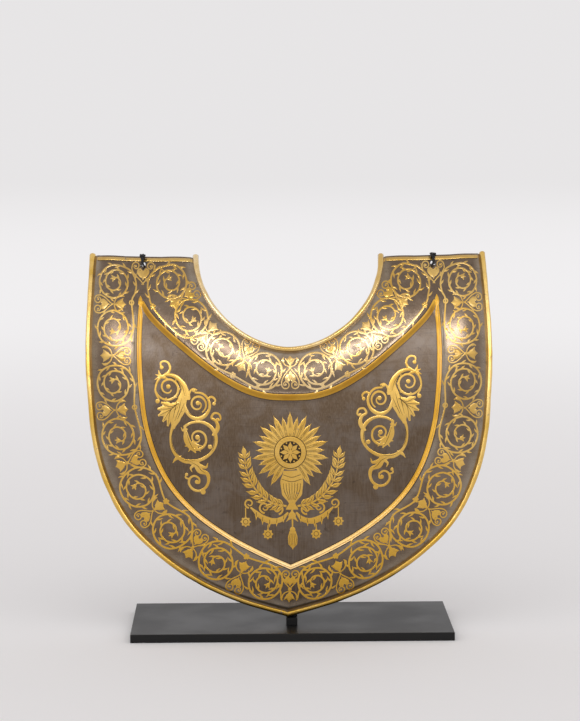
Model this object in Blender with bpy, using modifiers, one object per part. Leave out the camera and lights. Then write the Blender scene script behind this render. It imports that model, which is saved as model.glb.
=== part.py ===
"""A parade gorget of steel with rolled edges, tied to a small black display stand.

Metres, +Z up. The viewer stands at -Y and the gorget's outer face looks at them. The stand's
underside is at Z = 0, under the middle of the whole object's box.
"""

from collections import namedtuple
from math import asin, cos, radians, sin, tan

import bmesh
import bpy
from mathutils import Matrix, Vector

COLLECTION = "steel_gorget"
CUTTER_COLLECTION = "steel_gorget_cutters"

# Outline of the plate, seen from the front
PLATE_WIDTH = 0.2656
PLATE_HEIGHT = 0.2240
NECK_WIDTH = 0.1180
NECK_DEPTH = 0.0545
NECK_POWER = 1.83
NECK_BAND_WIDTH = 0.0311
POINT_BAND_WIDTH = 0.0312
FIELD_WIDTH = 0.1952
HORN_BELOW_TOP = 0.0280
POINT_SHIFT = -0.0024
POINT_SHIFT_HEIGHT = 0.0600

# How the plate curves away from the viewer
SIDE_DEPTH = 0.0360
LOWER_LEAN = radians(2.0)
TOP_LEAN = radians(45.0)
BEND_START = 0.0700

# Section of the sheet
SHEET = 0.0015
ROLL_DIAMETER = 0.0034
ROLL_SINK = 0.0006
ROLL_OVERHANG = 0.0015
COVE_WIDTH = 0.0024
COVE_DEPTH = 0.0007
BAND_CROWN = 0.0005
SHOULDER_WIDTH = 0.0020
SHOULDER_RISE = 0.0003
BEVEL_WIDTH = 0.0030
FIELD_DROP = 0.0017

# Holes and ties
HOLE_DIAMETER = 0.0045
HOLE_BELOW_TOP = 0.0045
TIE_DIAMETER = 0.0013
TIE_GAP = 0.0004

# Stand
BASE_WIDTH = 0.2030
BASE_DEPTH = 0.1016
BASE_THICKNESS = 0.0053
BASE_EDGE = 0.0004
POST_SETBACK = 0.0240
POST_WIDTH = 0.0070
POST_THICKNESS = 0.0050
SEAT_HEIGHT = 0.0050
PLATE_ON_SEAT = 0.0025
YOKE_DIAMETER = 0.0040
YOKE_GAP = 0.0028
YOKE_TURN = 0.0110
YOKE_END = 0.0080
STAND_GAP = 0.0006
CLEARANCE = 0.0003

# Mesh fineness
ROW_STEPS = 3
FIELD_COLUMNS = 4
ROLL_POINTS = 8
CORNER_STEPS = 3
ROLL_OPENING = radians(50.0)
SMOOTH_ANGLE = radians(35.0)

# One row for each section across the band, from the shoulder end (first) to the middle (last).
# outer: shares of half PLATE_WIDTH and of PLATE_HEIGHT. side: shares of half FIELD_WIDTH and of
# the field's height above its point. crescent: shares of half FIELD_WIDTH and of the horns' rise
# above the crescent's lowest place. neck: share of half NECK_WIDTH. The straps have no field.
Row = namedtuple("Row", "outer outer_up side side_up crescent crescent_up neck")
ROWS = (
    Row(0.989, 1.000, None, None, None, None, 1.000),
    Row(0.993, 0.940, None, None, None, None, 0.966),
    Row(0.996, 0.877, 0.989, 1.000, 0.989, 1.000, 0.873),
    Row(1.000, 0.790, 0.999, 0.909, 0.922, 0.844, 0.780),
    Row(0.998, 0.701, 1.000, 0.800, 0.809, 0.667, 0.661),
    Row(0.986, 0.607, 0.987, 0.678, 0.686, 0.502, 0.542),
    Row(0.964, 0.491, 0.953, 0.536, 0.558, 0.337, 0.432),
    Row(0.910, 0.375, 0.881, 0.405, 0.436, 0.201, 0.330),
    Row(0.806, 0.260, 0.774, 0.296, 0.318, 0.097, 0.237),
    Row(0.651, 0.170, 0.620, 0.202, 0.220, 0.038, 0.161),
    Row(0.455, 0.095, 0.420, 0.120, 0.133, 0.010, 0.093),
    Row(0.237, 0.040, 0.210, 0.055, 0.062, 0.002, 0.044),
    Row(0.000, 0.000, 0.000, 0.000, 0.000, 0.000, 0.000),
)

# The yoke's route behind the neck band, from the middle to the strap: shares of half the strap's
# middle distance (across) and of the way from the neck band's middle up to the hole (up).
YokePoint = namedtuple("YokePoint", "across up")
YOKE_ROUTE = (
    YokePoint(0.00, 0.00),
    YokePoint(0.21, 0.04),
    YokePoint(0.42, 0.16),
    YokePoint(0.60, 0.34),
    YokePoint(0.75, 0.54),
    YokePoint(0.85, 0.76),
)

STRAP_ROWS = sum(row.side is None for row in ROWS)
HALF_WIDTH = PLATE_WIDTH / 2
HALF_NECK = NECK_WIDTH / 2
HALF_FIELD = FIELD_WIDTH / 2
NECK_BOTTOM = PLATE_HEIGHT - NECK_DEPTH
CRESCENT_BOTTOM = NECK_BOTTOM - NECK_BAND_WIDTH
HORN_UP = PLATE_HEIGHT - HORN_BELOW_TOP
STRAP_MIDDLE = (ROWS[0].outer * HALF_WIDTH + HALF_NECK) / 2
STRAP_FAN = (ROWS[0].outer * HALF_WIDTH - HALF_NECK) / 8
HOLE_UP = PLATE_HEIGHT - HOLE_BELOW_TOP
ROLL_RADIUS = ROLL_DIAMETER / 2
SEAT_Z = BASE_THICKNESS + SEAT_HEIGHT
PLATE_Y = POST_SETBACK + PLATE_ON_SEAT
PLATE_Z = SEAT_Z + CLEARANCE
YOKE_BACK = SHEET + COVE_DEPTH + YOKE_GAP + YOKE_DIAMETER / 2
BEND_RADIUS = (PLATE_HEIGHT - BEND_START) / (sin(TOP_LEAN) - sin(LOWER_LEAN))
SIDE_RADIUS = (HALF_WIDTH**2 + SIDE_DEPTH**2) / (2 * SIDE_DEPTH)


def lean(up):
    """How far the plate's middle lies behind its point at this height above the point."""
    if up <= BEND_START:
        return up * tan(LOWER_LEAN)
    angle = asin(sin(LOWER_LEAN) + (up - BEND_START) / BEND_RADIUS)
    return BEND_START * tan(LOWER_LEAN) + BEND_RADIUS * (cos(LOWER_LEAN) - cos(angle))


def surface(across, up):
    """A point of the band's outer face, before its relief."""
    side = SIDE_RADIUS - (SIDE_RADIUS**2 - across**2) ** 0.5
    low = max(0.0, 1 - up / POINT_SHIFT_HEIGHT)
    return Vector((across + POINT_SHIFT * low**2, PLATE_Y + side + lean(up), PLATE_Z + up))


def slopes(across, up):
    """The face's directions at a point: to the right, and up."""
    step = PLATE_WIDTH / 4000
    right = surface(across + step, up) - surface(across - step, up)
    rise = surface(across, up) - surface(across, up - step)
    return right.normalized(), rise.normalized()


def outward(across, up):
    """The face's normal, which looks at the viewer."""
    right, rise = slopes(across, up)
    return right.cross(rise).normalized()


def raised(place, height):
    """A point at this height above the outer face."""
    return surface(place.x, place.y) + outward(place.x, place.y) * height


def smooth_line(points, after):
    """A smooth line through the points, in ROW_STEPS steps each, heading for the point after."""
    line = [points[0]]
    padded = [2 * points[0] - points[1], *points, after]
    for a, b, c, d in zip(padded, padded[1:], padded[2:], padded[3:]):
        for step in range(1, ROW_STEPS + 1):
            t = step / ROW_STEPS
            line.append(
                0.5 * (2 * b + (c - a) * t + (2 * a - 5 * b + 4 * c - d) * t**2 + (3 * b - a - 3 * c + d) * t**3)
            )
    return line


def straight_on(points):
    """The next point of a line that ends in a corner on the middle line."""
    return 2 * points[-1] - points[-2]


def mirrored(point):
    return Vector((-point.x, point.y))


def neck_up(across):
    """Height of the neck edge at this distance from the middle."""
    share = min(1.0, max(0.0, across / HALF_NECK))
    return PLATE_HEIGHT - NECK_DEPTH * (1 - share**NECK_POWER) ** (1 / NECK_POWER)


def half_lines():
    """The four lines along one half of the plate: outer edge, field's side, crescent and neck edge."""
    outer = [Vector((row.outer * HALF_WIDTH, row.outer_up * PLATE_HEIGHT)) for row in ROWS]
    outer_line = smooth_line(outer, straight_on(outer))

    shares = [Vector((row.neck * HALF_NECK, 0)) for row in ROWS]
    neck_line = [Vector((p.x, neck_up(p.x))) for p in smooth_line(shares, mirrored(shares[-2]))]

    field_rows = ROWS[STRAP_ROWS:]
    field_height = HORN_UP - POINT_BAND_WIDTH
    horn_rise = HORN_UP - CRESCENT_BOTTOM
    side = [Vector((r.side * HALF_FIELD, POINT_BAND_WIDTH + r.side_up * field_height)) for r in field_rows]
    crescent = [
        Vector((r.crescent * HALF_FIELD, CRESCENT_BOTTOM + r.crescent_up * horn_rise)) for r in field_rows
    ]
    strap_steps = STRAP_ROWS * ROW_STEPS
    side_line, crescent_line = [], []
    for step in range(strap_steps):
        share = step / strap_steps
        for line, fan, horn in ((side_line, STRAP_FAN, side[0]), (crescent_line, -STRAP_FAN, crescent[0])):
            top = Vector((STRAP_MIDDLE + fan, PLATE_HEIGHT))
            line.append(top.lerp(horn, share))
    side_line += smooth_line(side, straight_on(side))
    crescent_line += smooth_line(crescent, mirrored(crescent[-2]))
    return outer_line, side_line, crescent_line, neck_line


def whole(line):
    """The line of both halves, from the left shoulder to the right one."""
    return [mirrored(point) for point in line] + line[-2::-1]


def edge_directions(line, side):
    """For each point of a line, the way off it along the face (side 1: towards the outer edge)."""
    directions = []
    for i, place in enumerate(line):
        before = line[max(i - 1, 0)]
        after = line[min(i + 1, len(line) - 1)]
        along = surface(after.x, after.y) - surface(before.x, before.y)
        normal = outward(place.x, place.y)
        away = along.cross(normal).normalized() * side
        turn = 1.0
        if 0 < i < len(line) - 1:
            first = (surface(place.x, place.y) - surface(before.x, before.y)).normalized()
            turn = max(0.5, abs(first.dot(along.normalized())))
        directions.append(away / turn)
    return directions


def moved(place, direction, distance):
    """The place this far along the face."""
    return Vector((place.x + direction.x * distance, place.y + direction.z * distance))


def roll_ring(place, direction, stretch):
    """Points round the rolled edge, from the front of the sheet to its back."""
    normal = outward(place.x, place.y)
    centre = surface(place.x, place.y) - direction * ROLL_RADIUS - normal * ROLL_SINK + stretch
    ring = []
    for i in range(ROLL_POINTS):
        angle = radians(180) - ROLL_OPENING / 2 - i * (radians(360) - ROLL_OPENING) / (ROLL_POINTS - 1)
        ring.append(centre + direction * ROLL_RADIUS * cos(angle) + normal * ROLL_RADIUS * sin(angle))
    return ring


def band_columns(edge, edge_away, strip, strip_away, opening):
    """Places and heights across one band, from its rolled edge to the foot of the bevel."""
    start = moved(edge, edge_away, -ROLL_DIAMETER - COVE_WIDTH)
    foot = moved(strip, strip_away, BEVEL_WIDTH / 2 + SHOULDER_WIDTH)
    top = moved(strip, strip_away, BEVEL_WIDTH / 2)
    inset = min(BEVEL_WIDTH / 2, 0.4 * opening)
    depth = min(1.0, opening / (2 * BEVEL_WIDTH))
    return [
        (moved(edge, edge_away, -ROLL_DIAMETER - COVE_WIDTH * 0.3), -COVE_DEPTH),
        (start, 0.0),
        (start.lerp(foot, 0.5), BAND_CROWN),
        (foot, 0.0),
        (top, SHOULDER_RISE * depth),
        (moved(strip, strip_away, -inset), -FIELD_DROP * depth),
    ]


def plate_rings():
    """Sections of the plate from the left shoulder to the right: roll, back, roll, front."""
    outer, side, crescent, neck = (whole(line) for line in half_lines())
    outer_away = edge_directions(outer, 1)
    side_away = edge_directions(side, 1)
    crescent_away = edge_directions(crescent, -1)
    neck_away = edge_directions(neck, -1)
    horn = STRAP_ROWS * ROW_STEPS
    last = len(outer) - 1
    rings = []
    for i in range(last + 1):
        in_strap = i <= horn or i >= last - horn
        opening = (side[i] - crescent[i]).length
        if in_strap:
            opening = 0.0
        front = band_columns(outer[i], outer_away[i], side[i], side_away[i], opening)
        inner = band_columns(neck[i], neck_away[i], crescent[i], crescent_away[i], opening)
        first, second = front[-1], inner[-1]
        for k in range(1, FIELD_COLUMNS + 1):
            front.append((first[0].lerp(second[0], k / (FIELD_COLUMNS + 1)), first[1]))
        front += inner[::-1]
        stretch = Vector()
        if i in (0, last):
            front = [(Vector((place.x, PLATE_HEIGHT)), height) for place, height in front]
            beside = outer[1 if i == 0 else last - 1]
            stretch = (surface(outer[i].x, outer[i].y) - surface(beside.x, beside.y)).normalized()
            stretch *= ROLL_OVERHANG
        outer_roll = roll_ring(outer[i], outer_away[i], stretch)
        neck_roll = roll_ring(neck[i], neck_away[i], stretch)
        face = [raised(place, height) for place, height in front]
        back = [raised(place, height - SHEET) for place, height in front]
        rings.append((outer_roll, back, neck_roll[::-1], face[::-1]))
    return rings


def loft_plate(name):
    """The plate as one closed body, with its two shoulder ends capped."""
    mesh = bmesh.new()
    rings = plate_rings()
    loops = [[mesh.verts.new(point) for part in ring for point in part] for ring in rings]
    count = len(loops[0])
    for near, far in zip(loops, loops[1:]):
        for k in range(count):
            mesh.faces.new((near[k], near[(k + 1) % count], far[(k + 1) % count], far[k]))
    back_start = ROLL_POINTS
    columns = len(rings[0][1])
    neck_start = back_start + columns
    face_start = neck_start + ROLL_POINTS
    for loop in (loops[0], loops[-1]):
        mesh.faces.new(loop[:back_start])
        mesh.faces.new(loop[neck_start:face_start])
        back = loop[back_start:neck_start]
        face = loop[face_start:][::-1]
        mesh.faces.new((loop[0], face[0], back[0], loop[back_start - 1]))
        mesh.faces.new((loop[neck_start], back[-1], face[-1], loop[face_start - 1]))
        for a, b, c, d in zip(face, face[1:], back[1:], back):
            mesh.faces.new((a, b, c, d))
    bmesh.ops.recalc_face_normals(mesh, faces=mesh.faces)
    return object_from(name, mesh)


def object_from(name, mesh):
    data = bpy.data.meshes.new(name)
    mesh.to_mesh(data)
    mesh.free()
    return bpy.data.objects.new(name, data)


def hole_cutter(side):
    """A pin that cuts one tie hole square through the sheet."""
    across = side * STRAP_MIDDLE
    normal = outward(across, HOLE_UP)
    mesh = bmesh.new()
    bmesh.ops.create_cone(
        mesh, cap_ends=True, segments=16, radius1=HOLE_DIAMETER / 2, radius2=HOLE_DIAMETER / 2, depth=8 * SHEET
    )
    cutter = object_from("hole_cutter_left" if side < 0 else "hole_cutter_right", mesh)
    turn = normal.to_track_quat("Z", "Y").to_matrix().to_4x4()
    cutter.matrix_world = Matrix.Translation(surface(across, HOLE_UP)) @ turn
    return cutter


def add_boolean(target, tool, operation):
    modifier = target.modifiers.new(operation.title(), "BOOLEAN")
    modifier.operation = operation
    modifier.object = tool
    modifier.solver = "EXACT"


def curve_object(name, points, diameter, cyclic=False):
    """A round wire through the points."""
    data = bpy.data.curves.new(name, "CURVE")
    data.dimensions = "3D"
    data.bevel_depth = diameter / 2
    data.bevel_resolution = 2
    data.use_fill_caps = not cyclic
    spline = data.splines.new("POLY")
    spline.points.add(len(points) - 1)
    for target, point in zip(spline.points, points):
        target.co = (*point, 1)
    spline.use_cyclic_u = cyclic
    return bpy.data.objects.new(name, data)


def mesh_from_curve(curve):
    """The curve as a mesh object with welded caps. The curve is removed."""
    bpy.context.scene.collection.objects.link(curve)
    graph = bpy.context.evaluated_depsgraph_get()
    data = bpy.data.meshes.new_from_object(curve.evaluated_get(graph))
    mesh = bmesh.new()
    mesh.from_mesh(data)
    bmesh.ops.remove_doubles(mesh, verts=mesh.verts, dist=1e-6)
    bmesh.ops.recalc_face_normals(mesh, faces=mesh.faces)
    name, place = curve.name, curve.matrix_world.copy()
    bpy.data.objects.remove(curve)
    bpy.data.meshes.remove(data)
    made = object_from(name, mesh)
    made.matrix_world = place
    return made


def spine_line(depth, tops):
    """Side view (Y, Z) of a line that follows the plate's back at this depth."""
    line = []
    for up in tops:
        point = surface(0, up) - outward(0, up) * depth
        line.append(Vector((point.y, point.z)))
    return line


def make_post():
    """Post with a ledge under the plate's point, and an upright that follows the plate's back."""
    near = SHEET + FIELD_DROP + STAND_GAP
    far = near + POST_THICKNESS
    top = (NECK_BOTTOM + CRESCENT_BOTTOM) / 2 + YOKE_DIAMETER
    levels = [BEND_START * 0.5, BEND_START]
    levels += [BEND_START + (top - BEND_START) * k / 8 for k in range(1, 9)]
    front = spine_line(near, levels)
    rear = spine_line(far, levels)
    foot = BASE_THICKNESS + CLEARANCE
    seat_end = surface(0, 0).y + near
    outline = [Vector((POST_SETBACK, foot)), Vector((POST_SETBACK, SEAT_Z)), Vector((seat_end, SEAT_Z))]
    outline += front + rear[::-1] + [Vector((seat_end + POST_THICKNESS, foot))]

    data = bpy.data.curves.new("stand_post", "CURVE")
    data.dimensions = "2D"
    data.fill_mode = "BOTH"
    data.extrude = POST_WIDTH / 2
    spline = data.splines.new("POLY")
    spline.points.add(len(outline) - 1)
    for target, point in zip(spline.points, outline):
        target.co = (point.x, point.y, 0, 1)
    spline.use_cyclic_u = True
    curve = bpy.data.objects.new("stand_post", data)
    curve.matrix_world = Matrix(((0, 0, 1, 0), (1, 0, 0, 0), (0, 1, 0, 0), (0, 0, 0, 1)))
    return mesh_from_curve(curve)


def make_yoke():
    """Rod behind the neck band, with its ends turned out behind the tie holes."""
    low = (NECK_BOTTOM + CRESCENT_BOTTOM) / 2
    half = [Vector((p.across * STRAP_MIDDLE, low + p.up * (HOLE_UP - low))) for p in YOKE_ROUTE]
    half.append(Vector((STRAP_MIDDLE - YOKE_TURN, HOLE_UP - YOKE_DIAMETER)))
    half.append(Vector((STRAP_MIDDLE - YOKE_TURN / 2, HOLE_UP)))
    half.append(Vector((STRAP_MIDDLE, HOLE_UP)))
    half.append(Vector((STRAP_MIDDLE + YOKE_END, HOLE_UP)))
    line = smooth_line(half, straight_on(half))
    line = [mirrored(place) for place in line[:0:-1]] + line
    return mesh_from_curve(curve_object("stand_yoke", [raised(p, -YOKE_BACK) for p in line], YOKE_DIAMETER))


def rounded(corners, radius):
    """A closed line through the corners, each rounded off within this radius."""
    line = []
    for i, here in enumerate(corners):
        before = corners[i - 1] - here
        after = corners[(i + 1) % len(corners)] - here
        start = here + before.normalized() * min(radius, before.length * 0.4)
        end = here + after.normalized() * min(radius, after.length * 0.4)
        for step in range(CORNER_STEPS + 1):
            t = step / CORNER_STEPS
            line.append(start * (1 - t) ** 2 + here * 2 * t * (1 - t) + end * t**2)
    return line


def make_tie(side):
    """Cord over the strap's top edge, round under the yoke's end and out through the hole."""
    across = side * STRAP_MIDDLE
    centre = surface(across, HOLE_UP)
    normal = outward(across, HOLE_UP)
    rise = slopes(across, HOLE_UP)[1]
    rise = (rise - normal * rise.dot(normal)).normalized()
    away = TIE_GAP + TIE_DIAMETER / 2
    front = BAND_CROWN + away
    between = -(SHEET + COVE_DEPTH + YOKE_GAP / 2)
    rear = -(YOKE_BACK + YOKE_DIAMETER / 2 + away)
    top = (surface(across, PLATE_HEIGHT) - centre).dot(rise) + away
    through = -HOLE_DIAMETER / 8
    under = -(YOKE_DIAMETER / 2 + away)
    corners = (
        (front, through),
        (front, top),
        (-SHEET, top),
        (rear, YOKE_DIAMETER / 2),
        (rear, under),
        (between, under),
        (between, through),
    )
    line = rounded([Vector(corner) for corner in corners], 2 * TIE_DIAMETER)
    points = [centre + normal * place.x + rise * place.y for place in line]
    name = "tie_left" if side < 0 else "tie_right"
    return mesh_from_curve(curve_object(name, points, TIE_DIAMETER, cyclic=True))


def make_base():
    bpy.ops.mesh.primitive_cube_add(size=1)
    base = bpy.context.object
    base.name = base.data.name = "stand_base"
    base.data.transform(Matrix.Diagonal((BASE_WIDTH, BASE_DEPTH, BASE_THICKNESS, 1)))
    base.location = (0, BASE_DEPTH / 2, BASE_THICKNESS / 2)
    bevel = base.modifiers.new("Bevel", "BEVEL")
    bevel.width = BASE_EDGE
    bevel.segments = 2
    base.users_collection[0].objects.unlink(base)
    return base


def material(name, colour, roughness, metallic):
    made = bpy.data.materials.new(name)
    made.use_nodes = True
    shader = made.node_tree.nodes["Principled BSDF"]
    shader.inputs["Base Color"].default_value = (*colour, 1)
    shader.inputs["Roughness"].default_value = roughness
    shader.inputs["Metallic"].default_value = metallic
    return made


def clear_scene():
    for thing in list(bpy.data.objects):
        bpy.data.objects.remove(thing)


def collection(name, hidden=False):
    made = bpy.data.collections.new(name)
    made.hide_render = hidden
    bpy.context.scene.collection.children.link(made)
    return made


def centre_on_origin(parts, cutters):
    """Parents everything to an empty that puts the middle of the object's box over the origin."""
    bpy.context.view_layer.update()
    graph = bpy.context.evaluated_depsgraph_get()
    corners = []
    for part in parts:
        seen = part.evaluated_get(graph)
        corners += [seen.matrix_world @ Vector(corner) for corner in seen.bound_box]
    root = bpy.data.objects.new("gorget_origin", None)
    bpy.context.scene.collection.objects.link(root)
    for thing in parts + cutters:
        thing.parent = root
    middle = [(min(c[k] for c in corners) + max(c[k] for c in corners)) / 2 for k in (0, 1)]
    root.location = (-middle[0], -middle[1], 0)


def main():
    clear_scene()
    shown = collection(COLLECTION)
    hidden = collection(CUTTER_COLLECTION, hidden=True)

    steel = material("steel", (0.20, 0.175, 0.155), 0.42, 1.0)
    black_paint = material("black_paint", (0.012, 0.012, 0.013), 0.45, 0.0)
    black_cord = material("black_cord", (0.010, 0.010, 0.012), 0.85, 0.0)

    plate = loft_plate("gorget_plate")
    base = make_base()
    post = make_post()
    yoke = make_yoke()
    ties = [make_tie(-1), make_tie(1)]
    holes = [hole_cutter(-1), hole_cutter(1)]
    for hole in holes:
        add_boolean(plate, hole, "DIFFERENCE")
    add_boolean(post, yoke, "UNION")

    parts = [plate, base, post, *ties]
    cutters = [yoke, *holes]
    for part, paint in zip(parts, (steel, black_paint, black_paint, black_cord, black_cord)):
        shown.objects.link(part)
        part.data.materials.append(paint)
    for cutter in cutters:
        hidden.objects.link(cutter)
        cutter.hide_render = True
        cutter.display_type = "WIRE"
    for part in (plate, post, *ties):
        part.data.shade_smooth()
        part.data.set_sharp_from_angle(angle=SMOOTH_ANGLE)
    centre_on_origin(parts, cutters)


main()
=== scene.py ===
"""Looks of the steel gorget and its display stand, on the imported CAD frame.

Lengths are in millimetres unless a name ends in _M. A place on the plate is (across, up), seen
from the front: across from the middle line, up from the plate's point.
"""

from math import asin, cos, degrees, pi, radians, sin, tan

import bmesh
import bpy
from mathutils import Matrix, Vector
from mathutils.bvhtree import BVHTree
from mathutils.noise import noise as perlin


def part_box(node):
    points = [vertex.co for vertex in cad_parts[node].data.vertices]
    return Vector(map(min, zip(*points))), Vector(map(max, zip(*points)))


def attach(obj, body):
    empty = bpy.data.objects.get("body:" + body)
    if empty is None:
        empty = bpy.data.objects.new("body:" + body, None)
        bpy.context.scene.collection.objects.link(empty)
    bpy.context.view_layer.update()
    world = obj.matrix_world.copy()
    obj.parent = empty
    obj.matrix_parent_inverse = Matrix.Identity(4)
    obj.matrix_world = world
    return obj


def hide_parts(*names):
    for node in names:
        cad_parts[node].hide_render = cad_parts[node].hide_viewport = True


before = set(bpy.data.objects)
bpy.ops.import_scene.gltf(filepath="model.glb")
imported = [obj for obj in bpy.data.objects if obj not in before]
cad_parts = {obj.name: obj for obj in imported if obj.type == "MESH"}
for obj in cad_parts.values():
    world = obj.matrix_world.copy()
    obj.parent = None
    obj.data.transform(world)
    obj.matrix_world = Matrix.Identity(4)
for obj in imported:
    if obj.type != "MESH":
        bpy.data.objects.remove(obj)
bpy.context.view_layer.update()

MM = 0.001
BASE_LOW, BASE_HIGH = (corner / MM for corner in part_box("stand_base"))

# The plate, as its CAD solid has it
PLATE_WIDTH = 265.6
PLATE_HEIGHT = 224.0
NECK_WIDTH = 118.0
NECK_DEPTH = 54.5
NECK_POWER = 1.83
NECK_BAND_WIDTH = 31.1
POINT_BAND_WIDTH = 31.2
FIELD_WIDTH = 195.2
HORN_BELOW_TOP = 28.0
POINT_SHIFT = -2.4
POINT_SHIFT_HEIGHT = 60.0
SIDE_DEPTH = 36.0
LOWER_LEAN = radians(2.0)
TOP_LEAN = radians(45.0)
BEND_START = 70.0
SHEET = 1.5
ROLL_DIAMETER = 3.4
ROLL_SINK = 0.6
COVE_WIDTH = 2.4
COVE_DEPTH = 0.7
BAND_CROWN = 0.5
SHOULDER_WIDTH = 1.3
SHOULDER_RISE = 0.3
BEVEL_WIDTH = 3.0
FIELD_DROP = 1.7
HOLE_DIAMETER = 4.5
HOLE_BELOW_TOP = 4.5
PLATE_BEHIND_BASE_FRONT = 26.5
PLATE_ABOVE_BASE = 5.3
TIE_DIAMETER = 1.3
YOKE_DIAMETER = 4.0
YOKE_GAP = 2.8

# The same rows as the CAD solid: shares along the outer edge, the field's side, the crescent and
# the neck edge, from the shoulder end to the middle
ROWS = (
    (0.989, 1.000, None, None, None, None, 1.000),
    (0.993, 0.940, None, None, None, None, 0.966),
    (0.996, 0.877, 0.989, 1.000, 0.989, 1.000, 0.873),
    (1.000, 0.790, 0.999, 0.909, 0.922, 0.844, 0.780),
    (0.998, 0.701, 1.000, 0.800, 0.809, 0.667, 0.661),
    (0.986, 0.607, 0.987, 0.678, 0.686, 0.502, 0.542),
    (0.964, 0.491, 0.953, 0.536, 0.558, 0.337, 0.432),
    (0.910, 0.375, 0.881, 0.405, 0.436, 0.201, 0.330),
    (0.806, 0.260, 0.774, 0.296, 0.318, 0.097, 0.237),
    (0.651, 0.170, 0.620, 0.202, 0.220, 0.038, 0.161),
    (0.455, 0.095, 0.420, 0.120, 0.133, 0.010, 0.093),
    (0.237, 0.040, 0.210, 0.055, 0.062, 0.002, 0.044),
    (0.000, 0.000, 0.000, 0.000, 0.000, 0.000, 0.000),
)

# Fineness of the visible plate, and how finely slopes are measured on it
ROW_STEPS = 10
COVE_COLUMNS = 4
BAND_COLUMNS = 10
SHOULDER_COLUMNS = 3
BEVEL_COLUMNS = 5
FIELD_COLUMNS = 26
ROLL_POINTS = 20
SLOPE_STEP = 0.07

# Unevenness of the hammered plate and of its rolled edges: depth and spacing
HAMMER_MARKS = ((0.22, 34.0), (0.08, 11.0))
ROLL_DENT, ROLL_DENT_SPACING = 0.20, 9.0
ROLL_GRAIN, ROLL_GRAIN_SPACING = 0.015, 4.0
ROLL_INSET = 0.05

# The rolled edges' curls open a little at the shoulders. Their end rings go from the curl's hollow
# out to its rim: size share, and how far they lie past the tube's overhang
ROLL_FLARE = 0.35
ROLL_FLARE_STATIONS = 9
ROLL_ROUNDING = 0.35
ROLL_END_RINGS = ((0.42, -2.95), (0.60, -2.95), (0.66, 0.0), (0.90, 0.0))
OUTER_OVERHANG = 0.2
NECK_OVERHANG = 1.9

# The ground share of the bands' margins, where the steel is neither the field's nor the scrolls'
# ground, and how much of a margin the neck band has beside its strip
PLAIN = 0.5
NECK_MARGIN = 0.2

# Gilding: heights above the face, and shares of a stroke's or a dot's half width where they lie.
# A stroke has its full height from FULL_HEIGHT_HALF, and its half width is LEAST_HALF or more.
# The rays that find the face start in front of it. Engraved lines lie at CUT_HEIGHT
GILT_EDGE = 0.07
GILT_CROWN = 0.10
GILT_SUNK = -0.06
SPRAY_CROWN = 0.085
SPRAY_BREADTH = 0.86
STROKE_EDGE_SHARE = 0.82
DOT_EDGE_SHARE = 0.86
DOT_CROWN_SHARE = 0.5
FULL_HEIGHT_HALF = 0.3
LEAST_HALF = 0.06
RAY_START, RAY_LENGTH = 8.0, 12.0
CUT_HEIGHT = 0.03

# The strips' reach outside and inside the bevel's middle line, the groove along the side strip,
# and the cut lines beside the strips
SIDE_STRIP_OUT = 1.0
CRESCENT_STRIP_OUT = 2.2
STRIP_IN = -1.75
STRIP_COLUMNS = 8
STRIP_FACE = 0.08
STRIP_WAVER = 0.16
STRIP_GROOVE = 5
STRIP_GROOVE_DEPTH = 0.10
CUT_WIDTH = 0.45
CUT_OUTSIDE = 0.2
CUT_INSIDE = 0.15

# Scrolled borders
EDGE_MARGIN = 5.6
LOW_STEM_WIDTH = 1.4
HIGH_STEM_WIDTH = 1.25
STEM_CHANGE = 150.0
STEM_MARGIN = 3.0
TOP_LINE_WIDTH = 2.2
TOP_LINE_BELOW = 0.8
TOP_LINE_CLEARANCE = 0.4
TOP_LINE_STEPS = 40
THORN_WIDTHS = (1.55, 1.25, 0.3)
UPWARDS, DOWNWARDS = Vector((0, 1)), Vector((0, -1))

# Roundels of the scrolled borders: across, up and radius, from the middle to the shoulder
LATERAL_ROUNDELS = (
    (16.1, 21.4, 10.4),
    (47.5, 34.0, 11.0),
    (77.2, 53.3, 11.3),
    (98.0, 79.1, 11.5),
    (110.2, 111.8, 11.3),
    (113.7, 144.5, 11.0),
    (114.2, 179.2, 10.9),
    (114.4, 207.8, 10.2),
)
NECK_ROUNDELS = (
    (16.1, 155.4, 10.7),
    (42.2, 168.0, 10.7),
    (63.2, 187.3, 11.0),
    (76.8, 208.5, 10.8),
)

# Buds on the stems along the field, one for each pair of roundels, and places that the stems pass
# on their way round the tie hole's pendant
LATERAL_BUDS = ((28.4, 38.4), (79.4, 72.2), (99.6, 130.6), (102.3, 195.2))
NECK_BUDS = ((36.6, 152.0), (88.2, 193.1))
LATERAL_LAST_STEM = ((100.2, 201.4), (99.6, 206.8), (101.7, 212.8), (105.8, 216.4))
NECK_LAST_STEM = ((90.8, 199.6), (92.0, 206.2), (90.2, 212.6), (84.9, 217.3))

# Pairs of lateral roundels whose bud is a ring, and how bold the neck's scrolls are at least
RINGED_BUDS = (2, 3)
NECK_BOLD = 0.55

# The right spray is the left one's mirror image, moved by this
SPRAY_SHIFT = (-2.0, 2.5)

# The middle ornament's own middle line, its fan's middle and its knot
EMBLEM_ACROSS = 0.5
FAN_MIDDLE = Vector((-0.4, 104.5))
FAN_LEAVES = 25
FAN_TURN = 12.4
KNOT_MIDDLE = Vector((EMBLEM_ACROSS, 64.4))

# Middles of the lowest ornament and the neck's middle one, and the height of the point of the
# heart under a tie hole
MIDDLE_LOW = Vector((0.0, 17.6))
MIDDLE_NECK = Vector((0.0, 156.8))
PENDANT_UP = 207.2

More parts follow.
